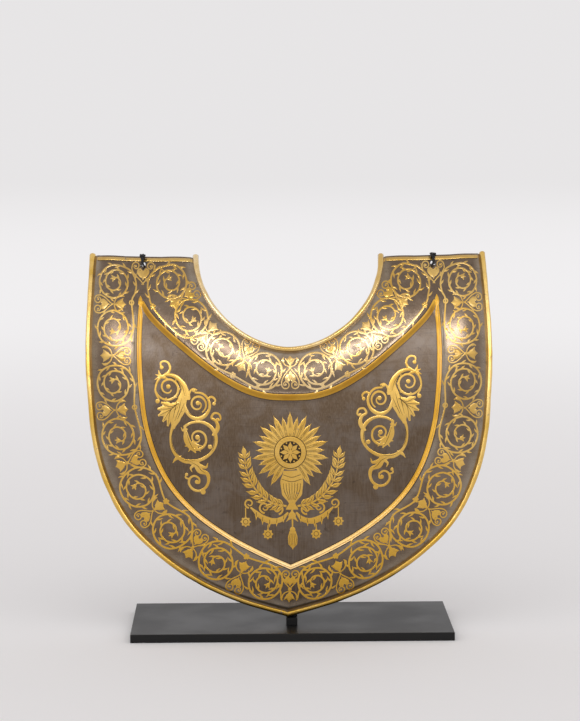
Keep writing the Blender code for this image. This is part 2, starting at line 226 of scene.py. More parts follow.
# A scroll's radii as shares of its roundel's, every 45 degrees over two turns
SCROLL_START = 180
SCROLL_TURN = 45
SCROLL_STEPS = 7
INNER_SCROLL_POINTS = 9
SCROLL = (
    1.02, 0.99, 0.96, 0.97, 0.99, 0.96, 0.91, 0.82, 0.71,
    0.61, 0.55, 0.54, 0.53, 0.49, 0.43, 0.34, 0.22,
)

# Ties: a strand's radius and the spacing of its points as shares of the cord's thickness, the
# length of one twist, and the loop's gap to what it goes round
STRAND = 0.29
CORD_SPACING = 0.22
CORD_SIDES = 8
CORD_PITCH = 2.2
TIE_GAP = 0.4
KNOT_BELOW_TOP = 2.5
EAR_THICKNESS = 0.7
TAIL_THICKNESS = 0.85

# Floor
FLOOR_RADII = (100, 200, 400, 800, 1600, 3200, 9000)
FLOOR_SIDES = 96

# Softboxes overhead, which light glossy surfaces only: azimuth, elevation, width and height in
# metres, and power
LIGHT_DISTANCE_M = 1.8
LIGHT_TARGET_M = (0.0, 0.0, 0.17)
SOFTBOXES = (
    ("outer_left_box", -59.0, 40.0, 0.46, 0.16, 3.0),
    ("inner_left_box", -26.5, 48.0, 0.60, 0.18, 3.4),
    ("middle_box", 1.0, 43.0, 0.60, 0.14, 1.3),
    ("inner_right_box", 32.0, 49.5, 0.60, 0.18, 3.5),
    ("outer_right_box", 61.0, 41.5, 0.46, 0.16, 2.3),
)

# Camera, fitted to the stand's four base corners: place from the middle of the base's front
# upper edge
CAMERA_RIGHT = -27.1
CAMERA_AHEAD = -1609.8
CAMERA_UP = 336.0
CAMERA_PITCH = radians(5.834)
CAMERA_YAW = radians(0.933)
CAMERA_ROLL = radians(-0.259)
IMAGE_WIDTH, IMAGE_HEIGHT = 580, 721
FOCAL_PIXELS = 2619.0
SENSOR = 36.0

# What follows from the values above
HALF_WIDTH = PLATE_WIDTH / 2
HALF_NECK = NECK_WIDTH / 2
HALF_FIELD = FIELD_WIDTH / 2
CRESCENT_BOTTOM = PLATE_HEIGHT - NECK_DEPTH - NECK_BAND_WIDTH
HORN_UP = PLATE_HEIGHT - HORN_BELOW_TOP
STRAP_ROWS = sum(row[2] is None for row in ROWS)
STRAP_MIDDLE = (ROWS[0][0] * HALF_WIDTH + HALF_NECK) / 2
STRAP_FAN = (ROWS[0][0] * HALF_WIDTH - HALF_NECK) / 8
HOLE_UP = PLATE_HEIGHT - HOLE_BELOW_TOP
PLATE_Y = BASE_LOW.y + PLATE_BEHIND_BASE_FRONT
PLATE_Z = BASE_HIGH.z + PLATE_ABOVE_BASE
BEND_RADIUS = (PLATE_HEIGHT - BEND_START) / (sin(TOP_LEAN) - sin(LOWER_LEAN))
SIDE_RADIUS = (HALF_WIDTH**2 + SIDE_DEPTH**2) / (2 * SIDE_DEPTH)
YOKE_BACK = SHEET + COVE_DEPTH + YOKE_GAP + YOKE_DIAMETER / 2

# Colours
BACKDROP = (0.80, 0.785, 0.79)
GLOW = (0.875, 0.86, 0.868)
FLOOR = (0.925, 0.912, 0.91)
BLACK = (0.0, 0.0, 0.0)
RICH_GOLD = (0.66, 0.36, 0.012)
PALE_GOLD = (0.88, 0.66, 0.36)
GRAIN_GOLD = (0.52, 0.28, 0.05)
STAIN = (0.050, 0.034, 0.024)

# Heights above the point between which painted shade darkens the metal downwards, painted shade turns
# the gilding richer downwards, a painted reflection of the pale floor turns the strips' gilding paler
# downwards, and painted shade darkens the borders' gilding upwards
DARK_LOW, DARK_HIGH = 2.0, 56.0
RICH_LOW, RICH_HIGH = 20.0, 150.0
PALE_LOW, PALE_HIGH = 5.0, 90.0
TOP_SHADE_LOW, TOP_SHADE_HIGH = 90.0, 150.0
NECK_TOP_SHADE_LOW, NECK_TOP_SHADE_HIGH = 166.0, 196.0


# The plate's form


def lean(up):
    """How far the plate lies back at this height: straight at first, then on a bend."""
    if up <= BEND_START:
        return up * tan(LOWER_LEAN)
    angle = asin(min(0.99, sin(LOWER_LEAN) + (up - BEND_START) / BEND_RADIUS))
    return BEND_START * tan(LOWER_LEAN) + BEND_RADIUS * (cos(LOWER_LEAN) - cos(angle))


def surface(across, up):
    """A point of the band's outer face, before its relief."""
    side = SIDE_RADIUS - (SIDE_RADIUS**2 - across**2) ** 0.5
    low = max(0.0, 1 - up / POINT_SHIFT_HEIGHT)
    return Vector((across + POINT_SHIFT * low**2, PLATE_Y + side + lean(up), PLATE_Z + up))


def slopes(across, up):
    """The face's directions to the right and upwards at a place."""
    right = surface(across + SLOPE_STEP, up) - surface(across - SLOPE_STEP, up)
    rise = surface(across, up) - surface(across, up - SLOPE_STEP)
    return right.normalized(), rise.normalized()


def outward(across, up):
    right, rise = slopes(across, up)
    return right.cross(rise).normalized()


def raised(place, height):
    """The point above a place at this height off the face."""
    return surface(place.x, place.y) + outward(place.x, place.y) * height


def smooth_line(points, steps=ROW_STEPS, after=None, before=None):
    """A smooth line through the points, from the point before to the point after them.

    Where one of these isn't given, the line goes straight on there.
    """
    line = [points[0]]
    if before is None:
        before = 2 * points[0] - points[1]
    if after is None:
        after = 2 * points[-1] - points[-2]
    padded = [before, *points, after]
    for a, b, c, d in zip(padded, padded[1:], padded[2:], padded[3:]):
        square, cube = 2 * a - 5 * b + 4 * c - d, 3 * b - a - 3 * c + d
        for step in range(1, steps + 1):
            t = step / steps
            line.append(0.5 * (2 * b + (c - a) * t + square * t**2 + cube * t**3))
    return line


def mirrored(place):
    return Vector((-place.x, place.y))


def neck_up(across):
    """Height of the neck's edge."""
    share = min(1.0, max(0.0, across / HALF_NECK))
    return PLATE_HEIGHT - NECK_DEPTH * (1 - share**NECK_POWER) ** (1 / NECK_POWER)


def half_lines():
    """Outer edge, field's side, crescent and neck edge of one half, from the shoulder down."""
    outer = [Vector((row[0] * HALF_WIDTH, row[1] * PLATE_HEIGHT)) for row in ROWS]
    outer_line = smooth_line(outer)
    shares = [Vector((row[6] * HALF_NECK, 0)) for row in ROWS]
    neck_line = smooth_line(shares, after=mirrored(shares[-2]))
    neck_line = [Vector((p.x, neck_up(p.x))) for p in neck_line]
    rows = ROWS[STRAP_ROWS:]
    side_rise = HORN_UP - POINT_BAND_WIDTH
    horn_rise = HORN_UP - CRESCENT_BOTTOM
    side = [Vector((r[2] * HALF_FIELD, POINT_BAND_WIDTH + r[3] * side_rise)) for r in rows]
    crescent = [Vector((r[4] * HALF_FIELD, CRESCENT_BOTTOM + r[5] * horn_rise)) for r in rows]
    strap_steps = STRAP_ROWS * ROW_STEPS
    side_line, crescent_line = [], []
    for step in range(strap_steps):
        share = step / strap_steps
        for line, fan, horn in (
            (side_line, STRAP_FAN, side[0]),
            (crescent_line, -STRAP_FAN, crescent[0]),
        ):
            line.append(Vector((STRAP_MIDDLE + fan, PLATE_HEIGHT)).lerp(horn, share))
    side_line += smooth_line(side)
    crescent_line += smooth_line(crescent, after=mirrored(crescent[-2]))
    return outer_line, side_line, crescent_line, neck_line


def whole(line):
    """The line from the left shoulder to the right one, from its right half."""
    return [mirrored(place) for place in line] + line[-2::-1]


def edge_directions(line, side):
    """For each point of a line, the way off it along the face."""
    directions = []
    for i, place in enumerate(line):
        before = line[max(i - 1, 0)]
        after = line[min(i + 1, len(line) - 1)]
        along = surface(after.x, after.y) - surface(before.x, before.y)
        away = along.cross(outward(place.x, place.y)).normalized() * side
        turn = 1.0
        if 0 < i < len(line) - 1:
            first = (surface(place.x, place.y) - surface(before.x, before.y)).normalized()
            turn = max(0.5, abs(first.dot(along.normalized())))
        directions.append(away / turn)
    return directions


def moved(place, direction, distance):
    """The place, moved along a direction of the face."""
    return Vector((place.x + direction.x * distance, place.y + direction.z * distance))


def ease(share):
    share = min(1.0, max(0.0, share))
    return share * share * (3 - 2 * share)


OUTER, SIDE, CRESCENT, NECK = (whole(line) for line in half_lines())
OUTER_AWAY = edge_directions(OUTER, 1)
SIDE_AWAY = edge_directions(SIDE, 1)
CRESCENT_AWAY = edge_directions(CRESCENT, -1)
NECK_AWAY = edge_directions(NECK, -1)
LAST = len(OUTER) - 1
HORN = STRAP_ROWS * ROW_STEPS


def field_opening(i):
    """How wide the field is at this station, and nothing in the straps."""
    return 0.0 if i <= HORN or i >= LAST - HORN else (SIDE[i] - CRESCENT[i]).length


def band_columns(edge, edge_away, strip, strip_away, opening, margin):
    """Place, height and ground share across one band, from under its roll to the bevel's foot.

    The ground share is 1 behind the scrolls, PLAIN in the band's margins and 0 in the field. The
    margin beside the strip is partly left out.
    """
    depth = min(1.0, opening / (2 * BEVEL_WIDTH))
    beside_strip = depth * margin
    inset = min(BEVEL_WIDTH / 2, 0.4 * opening)
    start = moved(edge, edge_away, -ROLL_DIAMETER - COVE_WIDTH)
    foot = moved(strip, strip_away, BEVEL_WIDTH / 2 + SHOULDER_WIDTH)
    columns = [(moved(edge, edge_away, -ROLL_DIAMETER * 0.5), -COVE_DEPTH, PLAIN)]
    for k in range(COVE_COLUMNS):
        t = k / COVE_COLUMNS
        height = -COVE_DEPTH * (0.5 + 0.5 * cos(pi * max(0.0, t * 1.3 - 0.3)))
        columns.append((moved(edge, edge_away, -ROLL_DIAMETER * 0.92 - COVE_WIDTH * t), height, PLAIN))
    for k in range(BAND_COLUMNS + 1):
        t = k / BAND_COLUMNS
        plain = max(1 - ease((t - 0.04) / 0.12), beside_strip * (1 - ease((1 - t) / 0.14)))
        columns.append((start.lerp(foot, t), BAND_CROWN * sin(pi * t), 1 - (1 - PLAIN) * plain))
    for k in range(1, SHOULDER_COLUMNS + 1):
        t = k / SHOULDER_COLUMNS
        place = moved(strip, strip_away, BEVEL_WIDTH / 2 + SHOULDER_WIDTH * (1 - t))
        columns.append((place, SHOULDER_RISE * depth * ease(t), 1 - (1 - PLAIN) * beside_strip))
    top = moved(strip, strip_away, BEVEL_WIDTH / 2)
    low = moved(strip, strip_away, -inset)
    for k in range(1, BEVEL_COLUMNS + 1):
        t = k / BEVEL_COLUMNS
        height = depth * (SHOULDER_RISE - (SHOULDER_RISE + FIELD_DROP) * ease(t))
        columns.append((top.lerp(low, t), height, 1 - depth))
    return columns


def hand_work(point):
    """The hammered plate's slight unevenness, in millimetres."""
    return sum(depth * perlin(point / spacing) for depth, spacing in HAMMER_MARKS)


def station(i):
    """Face and back points of the plate at one station, with each face point's ground share."""
    opening = field_opening(i)
    front = band_columns(OUTER[i], OUTER_AWAY[i], SIDE[i], SIDE_AWAY[i], opening, 1.0)
    inner = band_columns(NECK[i], NECK_AWAY[i], CRESCENT[i], CRESCENT_AWAY[i], opening, NECK_MARGIN)
    first, second = front[-1], inner[-1]
    for k in range(1, FIELD_COLUMNS + 1):
        front.append((first[0].lerp(second[0], k / (FIELD_COLUMNS + 1)), first[1], first[2]))
    front += inner[::-1]
    if i in (0, LAST):
        front = [(Vector((place.x, PLATE_HEIGHT)), height, ground) for place, height, ground in front]
    face, back = [], []
    for place, height, _ in front:
        dent = hand_work(surface(place.x, place.y))
        face.append(raised(place, height + dent))
        back.append(raised(place, height + dent - SHEET))
    return face, back, [ground for _, _, ground in front]


def add_object(name, mesh, smooth=radians(40)):
    """The bmesh, built in millimetres, as a smooth shaded object."""
    bmesh.ops.scale(mesh, vec=(MM, MM, MM), verts=mesh.verts)
    data = bpy.data.meshes.new(name)
    mesh.to_mesh(data)
    mesh.free()
    data.shade_smooth()
    data.set_sharp_from_angle(angle=smooth)
    made = bpy.data.objects.new(name, data)
    bpy.context.scene.collection.objects.link(made)
    return made


def piece(name, mesh, material, slot, *nodes, smooth=radians(40)):
    """A piece of the object: on the root body, with its material. Its slot argument is not used."""
    made = add_object(name, mesh, smooth)
    made.data.materials.append(material)
    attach(made, "root")
    if nodes:
        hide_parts(*nodes)
    return made


def bridge(mesh, rows, closed_rows=False, closed_ring=False):
    """Faces between rows of vertices."""
    pairs = list(zip(rows, rows[1:]))
    if closed_rows:
        pairs.append((rows[-1], rows[0]))
    for near, far in pairs:
        count = len(near)
        for k in range(count if closed_ring else count - 1):
            after = (k + 1) % count
            mesh.faces.new((near[k], near[after], far[after], far[k]))


def plate_mesh():
    mesh = bmesh.new()
    tone = mesh.verts.layers.float.new("ground")
    loops = []
    for i in range(LAST + 1):
        face, back, grounds = station(i)
        loop = [mesh.verts.new(point) for point in face + back[::-1]]
        for vert, ground in zip(loop, grounds):
            vert[tone] = ground
        loops.append(loop)
    bridge(mesh, loops, closed_ring=True)
    columns = len(loops[0]) // 2
    for loop in (loops[0], loops[-1]):
        for k in range(columns - 1):
            mesh.faces.new((loop[k], loop[k + 1], loop[-k - 2], loop[-k - 1]))
    bmesh.ops.recalc_face_normals(mesh, faces=mesh.faces)
    return mesh


def drill(target):
    """Cuts the two tie holes square through the sheet."""
    for side in (-1, 1):
        mesh = bmesh.new()
        radius = HOLE_DIAMETER / 2
        bmesh.ops.create_cone(
            mesh, cap_ends=True, segments=40, radius1=radius, radius2=radius, depth=8 * SHEET
        )
        centre = Vector((side * STRAP_MIDDLE, HOLE_UP))
        turn = outward(*centre).to_track_quat("Z", "Y").to_matrix().to_4x4()
        mesh.transform(Matrix.Translation(surface(*centre)) @ turn)
        cutter = add_object("hole_cutter", mesh)
        hole = target.modifiers.new("Hole", "BOOLEAN")
        hole.operation = "DIFFERENCE"
        hole.solver = "EXACT"
        hole.object = cutter
        bpy.context.view_layer.objects.active = target
        bpy.ops.object.modifier_apply(modifier="Hole")
        bpy.data.objects.remove(cutter)


def roll_mesh(line, directions, overhang, seed):
    """A rolled edge: a slightly uneven tube whose two ends are open curls.

    Its ends reach past the shoulders' top edge by the overhang.
    """
    mesh = bmesh.new()
    rings = []
    stations = [(0, *ring) for ring in ROLL_END_RINGS]
    stations += [(i, 1.0, -ROLL_ROUNDING) for i in range(LAST + 1)]
    stations += [(LAST, *ring) for ring in ROLL_END_RINGS[::-1]]
    for i, size, past in stations:
        place, direction = line[i], directions[i]
        beside = line[1] if i == 0 else line[LAST - 1]
        stretch = Vector()
        if i in (0, LAST):
            off = (surface(*place) - surface(*beside)).normalized()
            stretch = off * (overhang + past)
        normal = outward(*place)
        radius = ROLL_DIAMETER / 2
        flare = ROLL_FLARE * max(0.0, 1 - min(i, LAST - i) / ROLL_FLARE_STATIONS)
        centre = surface(*place) - direction * radius - normal * ROLL_SINK + stretch
        ring = []
        for k in range(ROLL_POINTS):
            angle = 2 * pi * k / ROLL_POINTS
            way = direction * cos(angle) + normal * sin(angle)
            spot = centre + way * radius
            dent = ROLL_DENT * perlin(spot / ROLL_DENT_SPACING + Vector((seed, 0, 0)))
            dent += ROLL_GRAIN * perlin(spot / ROLL_GRAIN_SPACING)
            reach = (radius + flare + dent - ROLL_INSET) * size
            ring.append(mesh.verts.new(centre + way * reach))
        rings.append(ring)
    bridge(mesh, rings, closed_ring=True)
    mesh.faces.new(rings[0])
    mesh.faces.new(rings[-1])
    bmesh.ops.recalc_face_normals(mesh, faces=mesh.faces)
    return mesh


# Gilding, drawn on the plate's front view and draped on its face


class Skin:
    """The plate's face, which places are draped on."""

    def __init__(self, plate):
        graph = bpy.context.evaluated_depsgraph_get()
        self.tree = BVHTree.FromObject(plate, graph)

    def point(self, across, up, height):
        """The point at this height above the face's relief."""
        base, normal = surface(across, up), outward(across, up)
        start = (base + normal * RAY_START) * MM
        hit = self.tree.ray_cast(start, -normal, RAY_LENGTH * MM)[0]
        return (hit / MM if hit else base) + normal * height


class Inlay:
    """Strokes and dots in the plate's front view, with heights above the face."""

    def __init__(self, edge=GILT_EDGE, crown=GILT_CROWN, sunk=GILT_SUNK, breadth=1.0):
        self.mesh = bmesh.new()
        self.edge, self.crown, self.sunk, self.breadth = edge, crown, sunk, breadth

    def stroke(self, line, *widths, closed=False, lift=0.0):
        """A raised line through the places. The widths are spaced evenly along it."""
        rows = []
        lengths = [0.0]
        for a, b in zip(line, line[1:]):
            lengths.append(lengths[-1] + (b - a).length)
        for i, place in enumerate(line):
            before = line[i - 1] if i or closed else place
            after = line[(i + 1) % len(line)] if i < len(line) - 1 or closed else place
            along = (after - before).normalized()
            across = Vector((-along.y, along.x))
            share = lengths[i] / (lengths[-1] or 1) * (len(widths) - 1)
            low = min(int(share), len(widths) - 2) if len(widths) > 1 else 0
            half = widths[low] / 2
            if len(widths) > 1:
                half += (widths[low + 1] - widths[low]) / 2 * ease(share - low)
            half = max(half * self.breadth, LEAST_HALF)
            flat = min(1.0, half / FULL_HEIGHT_HALF)
            section = (
                (-half, self.sunk),
                (-half * STROKE_EDGE_SHARE, self.edge * flat + lift),
                (0, self.crown * flat + lift),
                (half * STROKE_EDGE_SHARE, self.edge * flat + lift),
                (half, self.sunk),
            )
            rows.append([self.mesh.verts.new((*(place + across * off), up)) for off, up in section])
        bridge(self.mesh, rows, closed_rows=closed)
        if not closed:
            for row in (rows[0], rows[-1]):
                self.mesh.faces.new(row)

    def curve(self, points, *widths, steps=6, lift=0.0):
        """A stroke on a smooth line through the points."""
        points = [Vector(p) for p in points]
        self.stroke(smooth_line(points, steps), *widths, lift=lift)

    def dot(self, centre, radius, sides=14, lift=0.0, petals=0, depth=0.0):
        """A round boss, or one with petals round its edge."""
        centre = Vector(centre)
        levels = (
            (1.0, self.sunk),
            (DOT_EDGE_SHARE, self.edge + lift),
            (DOT_CROWN_SHARE, self.crown + lift),
        )
        loops = []
        for size, height in levels:
            loop = []
            for k in range(sides):
                angle = 2 * pi * k / sides
                reach = radius * size * (1 - depth * (0.5 - 0.5 * cos(petals * angle)))
                spot = (centre.x + reach * cos(angle), centre.y + reach * sin(angle), height)
                loop.append(self.mesh.verts.new(spot))
            loops.append(loop)
        bridge(self.mesh, loops, closed_ring=True)
        top = self.mesh.verts.new((*centre, self.crown * 1.15 + lift))
        for a, b in zip(loops[-1], loops[-1][1:] + loops[-1][:1]):
            self.mesh.faces.new((a, b, top))

    def ring(self, centre, radius, width, sides=40, lift=0.0):
        centre = Vector(centre)
        line = [centre + radius * turned(2 * pi * k / sides) for k in range(sides)]
        self.stroke(line, width, closed=True, lift=lift)

    def mirror(self, shift=(0.0, 0.0)):
        """Adds the mirror image about the middle line, moved by the shift."""
        whole_mesh = self.mesh.verts[:] + self.mesh.edges[:] + self.mesh.faces[:]
        copied = bmesh.ops.duplicate(self.mesh, geom=whole_mesh)["geom"]
        for vert in (part for part in copied if isinstance(part, bmesh.types.BMVert)):
            vert.co.x = shift[0] - vert.co.x
            vert.co.y += shift[1]
        faces = [part for part in copied if isinstance(part, bmesh.types.BMFace)]
        bmesh.ops.reverse_faces(self.mesh, faces=faces)

    def add(self, other):
        """Takes over what another inlay holds."""
        data = bpy.data.meshes.new("taken")
        other.mesh.to_mesh(data)
        self.mesh.from_mesh(data)
        bpy.data.meshes.remove(data)

    def drape(self, skin):
        for vert in self.mesh.verts:
            vert.co = skin.point(*vert.co)
        self.mesh.normal_update()
        low = [face for face in self.mesh.faces if face.normal.y > 0.05]
        bmesh.ops.reverse_faces(self.mesh, faces=low)
        return self.mesh


def engraving():
    """An inlay for engraved lines, which lie almost level with the face."""
    return Inlay(edge=CUT_HEIGHT, crown=CUT_HEIGHT, sunk=0.0)


def turned(angle):
    return Vector((cos(angle), sin(angle)))


def swirl(centre, sizes, start, sweep, steps=40):
    """A spiral line. The radii are spaced evenly over the sweep, which is signed, in degrees."""
    line = []
    for k in range(steps + 1):
        share = k / steps * (len(sizes) - 1)
        low = min(int(share), len(sizes) - 2)
        size = sizes[low] + (sizes[low + 1] - sizes[low]) * (share - low)
        line.append(Vector(centre) + size * turned(radians(start + sweep * k / steps)))
    return line


def thorn(ink, place, along, away, size):
    """A small hooked leaf that leaves a stem."""
    tip = place + (along * 0.8 + away * 0.85) * size
    middle = place + away * size * 0.5 + along * size * 0.15
    ink.curve((place - along * 0.7, middle, tip), *THORN_WIDTHS, steps=3)


def clear_of_rolls(place):
    """Whether a place lies on a band's flat part, off the grooves beside its rolled edge."""
    return all((place - edge).length > EDGE_MARGIN for edge in OUTER + NECK)


def thorns(ink, line, spacing, size=2.7, first=0.5, sides=(1, -1)):
    """Hooked leaves along a line, in turn on its two sides."""
    walked, target, turn = 0.0, spacing * first, 0
    for a, b in zip(line, line[1:]):
        walked += (b - a).length
        if walked >= target:
            along = (b - a).normalized()
            away = Vector((-along.y, along.x)) * sides[turn % len(sides)]
            if clear_of_rolls(b + away * size):
                thorn(ink, b, along, away, size)
            target += spacing
            turn += 1


def floret(ink, centre, size=1.3):
    for k in range(5):
        ink.dot(Vector(centre) + size * turned(pi / 2 + 2 * pi / 5 * k), size * 0.72, sides=8)
    ink.dot(centre, size * 0.7, sides=8, lift=0.03)


def heart(ink, foot, way, size=1.0, spread=1.0, volute=(2.9, 2.4)):
    """A pendant heart in a lyre with two volutes. Its point lies at the foot."""
    way = way.normalized()
    side = Vector((-way.y, way.x))

    def at(along, out):
        return foot + (way * along + side * out * spread) * size

    out, reach = volute
    for s in (-1, 1):
        centre = at(9.4, out * s)
        lyre = (
            at(-0.6, -0.5 * s),
            at(1.8, 1.3 * s),
            at(4.8, 3.9 * s),
            at(7.6, 5.3 * s),
            at(9.6, (out + reach) * s),
        )
        ink.curve(lyre, 0.8, 0.85, 0.9, 0.9)
        start = degrees(atan_of(lyre[-1] - centre))
        turn = 1 if side.cross(way) * s > 0 else -1
        curl = [reach * size * spread * share for share in (1.0, 0.95, 0.7, 0.4)]
        ink.stroke(swirl(centre, curl, start, 400 * turn, 26), 0.9, 0.85, 0.7)
        ink.dot(centre, 0.7 * size, sides=8)
        lobe = (at(2.6, 0.0), at(5.0, 1.0 * s), at(6.8, 1.7 * s), at(7.7, 0.8 * s))
        ink.curve(lobe, 0.5 * size, 3.0 * size, 3.7 * size, 1.7 * size, steps=4)
    ink.curve((at(1.8, 0), at(4.6, 0), at(7.0, 0)), 0.4, 3.2 * size, 3.6 * size, steps=4)


def atan_of(vector):
    """The vector's angle."""
    return Vector((1, 0)).angle_signed(Vector((vector.x, -vector.y)))


def lily(ink, foot, way, size=1.0):
    """A bell with three points on a short stem, and a hooked bud to each side."""
    way = way.normalized()
    side = Vector((-way.y, way.x))

    def at(along, out):
        return foot + (way * along + side * out) * size

    bell = (at(0.4, 0), at(2.6, 0), at(5.2, 0), at(8.6, 0))
    ink.curve(bell, 0.9, 3.2 * size, 5.4 * size, 0.3, steps=5)
    for s in (-1, 1):
        lip = (at(3.4, 0.6 * s), at(5.2, 1.9 * s), at(6.6, 4.0 * s))
        ink.curve(lip, 3.2 * size, 2.6 * size, 0.3, steps=4)
        places = ((0.6, 0.6), (1.6, 3.2), (3.6, 5.0), (5.8, 5.6), (7.4, 4.9))
        hook = [at(along, out * s) for along, out in places]
        ink.curve(hook, 0.8, 0.8, 1.0, 1.9, 0.6, steps=4)


def scroll(ink, centre, radius, partner_way, field_way, line, before, bold):
    """A stem through the places that goes round its roundel and rolls up in it.

    Stems and thorns grow bolder downwards, from bold to 1 at the plate's point.
    """
    line = [Vector(place) for place in line]
    for k, share in enumerate(SCROLL):
        angle = radians(SCROLL_START + SCROLL_TURN * k)
        line.append(centre + radius * share * (partner_way * cos(angle) + field_way * sin(angle)))
    line = smooth_line(line, SCROLL_STEPS, before=before)
    bold = max(bold, ease((STEM_CHANGE - centre.y) / STEM_CHANGE))
    width = HIGH_STEM_WIDTH + (LOW_STEM_WIDTH - HIGH_STEM_WIDTH) * bold
    ink.stroke(line, width * 0.9, width, width, width * 0.95, width * 0.85)
    turn = 1 if partner_way.cross(field_way) > 0 else -1
    inner = len(line) - SCROLL_STEPS * INNER_SCROLL_POINTS
    spacing = radius * (0.46 - 0.08 * bold)
    thorns(ink, line[4:inner], spacing, size=2.3 + 1.1 * bold, sides=(-turn, turn))
    thorns(ink, line[inner:-6], radius * 0.40, size=2.0 + 0.8 * bold, sides=(-turn, turn, -turn))
    eye = line[-1]
    ink.dot(eye, 1.3, sides=10)
    last = (eye - line[-3]).normalized()
    for angle in (-1.0, 0.0, 1.0):
        way = Matrix.Rotation(angle, 2) @ last
        ink.curve((eye, eye + way * 1.4, eye + way * 2.6), 1.0, 1.3, 0.3, steps=3)


def bud(ink, place, ringed):
    if ringed:
        ink.ring(place, 1.35, 0.95, sides=16)
    else:
        floret(ink, place, 1.25)


def chain(ink, roundels, buds, last_stem, field_line, side, ringed, bold=0.0):
    """Paired roundels from the middle to a shoulder, with a heart and a lily in each gap.

    Both stems of a pair leave one bud beside the field. The pairs in ringed have a ring there, the
    others a floret.
    """
    centres = [Vector(r[:2]) for r in roundels]
    sizes = [r[2] for r in roundels]
    last = len(centres) - 1
    for k, (near, far) in enumerate(zip(centres, centres[1:])):
        heading = (far - near).normalized()
        field_way = Vector((-heading.y, heading.x)) * side
        gap = (far - near).length - sizes[k] - sizes[k + 1]
        crossing = near + heading * (sizes[k] + gap / 2)
        if k % 2:
            heart(ink, crossing, field_way, 0.98)
            lily(ink, crossing, -field_way, 0.98)
            ink.dot(crossing, 1.1, sides=10, lift=0.02)
            continue
        heart(ink, crossing - field_way * 0.6, -field_way, 1.04)
        lily(ink, crossing, field_way, 0.98)
        start = Vector(buds[k // 2])
        passes = []
        pair = ((near, sizes[k], heading), (far, sizes[k + 1], -heading))
        for centre, radius, partner_way in pair:
            to_field = min((place - centre).length for place in field_line) - STEM_MARGIN
            spare = max(to_field - radius * 1.02, 0.0)
            beside = centre + field_way * (radius * 1.02 + 0.85 * spare)
            corner = centre + (field_way - partner_way) * 0.707 * (radius * 1.03 + 0.5 * spare)
            passes.append((beside, corner))
        scroll(ink, *pair[0], field_way, [start, *passes[0]], passes[1][0], bold)
        stem = last_stem if k + 1 == last else passes[1]
        scroll(ink, *pair[1], field_way, [start, *stem], passes[0][0], bold)
        bud(ink, start, k // 2 in ringed)


def borders():
    """The outer border's scrolls with the shoulders' top lines, and the neck border's scrolls."""
    ink, neck = Inlay(), Inlay()
    ink.stroke(top_line(1), TOP_LINE_WIDTH, TOP_LINE_WIDTH)
    chain(ink, LATERAL_ROUNDELS, LATERAL_BUDS, LATERAL_LAST_STEM, SIDE, 1, RINGED_BUDS)
    chain(neck, NECK_ROUNDELS, NECK_BUDS, NECK_LAST_STEM, CRESCENT, -1, (), NECK_BOLD)
    heart(ink, Vector((STRAP_MIDDLE, PENDANT_UP)), UPWARDS, 1.15, 1.22, (3.5, 1.7))
    ink.mirror()
    neck.mirror()
    heart(ink, MIDDLE_LOW + Vector((0.0, 0.2)), UPWARDS, 1.0)
    lily(ink, MIDDLE_LOW - Vector((0.0, 0.6)), DOWNWARDS, 0.9)
    heart(neck, MIDDLE_NECK - Vector((0.0, 0.2)), DOWNWARDS, 1.12, 0.92)
    lily(neck, MIDDLE_NECK - Vector((0.0, 0.2)), UPWARDS, 0.84)
    ink.dot(MIDDLE_LOW, 1.3, sides=10)
    neck.dot(MIDDLE_NECK, 1.3, sides=10)
    return ink, neck


def top_line(side, below=0.0):
    """Places along the gilt line under one shoulder's top edge, or lower."""
    half = (ROWS[0][0] * HALF_WIDTH - HALF_NECK) / 2 - ROLL_DIAMETER - TOP_LINE_CLEARANCE
    up = PLATE_HEIGHT - TOP_LINE_BELOW - TOP_LINE_WIDTH / 2 - below
    shares = [k / (TOP_LINE_STEPS / 2) - 1 for k in range(TOP_LINE_STEPS + 1)]
    return [Vector((side * STRAP_MIDDLE + half * share, up)) for share in shares]


def strips():
    """The gilt strips on the field's bevels, with cut lines beside them."""
    ink, cut = Inlay(), engraving()
    for line, aways, outer in (
        (SIDE, SIDE_AWAY, SIDE_STRIP_OUT),
        (CRESCENT, CRESCENT_AWAY, CRESCENT_STRIP_OUT),
    ):
        width = outer - STRIP_IN
        offsets = [STRIP_IN + width * k / STRIP_COLUMNS for k in range(STRIP_COLUMNS + 1)]
        rows = []
        for i in range(HORN, LAST - HORN + 1):
            waver = STRIP_WAVER * perlin(Vector((i / 5, aways[i].z, 3)))
            row = []
            for k, offset in enumerate(offsets):
                reach = offset + waver if k == STRIP_COLUMNS else offset
                reach = max(reach, -0.4 * max(field_opening(i), 0.1))
                height = GILT_SUNK if k in (0, STRIP_COLUMNS) else STRIP_FACE
                if line is SIDE and k == STRIP_GROOVE:
                    height -= STRIP_GROOVE_DEPTH
                row.append(ink.mesh.verts.new((*moved(line[i], aways[i], reach), height)))
            rows.append(row)
        bridge(ink.mesh, rows)
        for offset, skipped in ((outer + CUT_OUTSIDE, 2), (STRIP_IN - CUT_INSIDE, 7)):
            stations = range(HORN + skipped, LAST - HORN - skipped + 1)
            beside = [moved(line[i], aways[i], offset) for i in stations]
            cut.stroke(beside, 0.2, CUT_WIDTH, CUT_WIDTH, 0.2)
    for side in (-1, 1):
        tip = Vector((side * ROWS[STRAP_ROWS][2] * HALF_FIELD, HORN_UP))
        above = [tip + UPWARDS * rise for rise in (-3.0, 0.0, 1.6, 3.6)]
        ink.curve(above, 2.0, 3.4, 2.6, 0.5)
        cut.stroke(top_line(side, TOP_LINE_WIDTH / 2 + CUT_OUTSIDE), 0.4, 0.4)
    return ink, cut


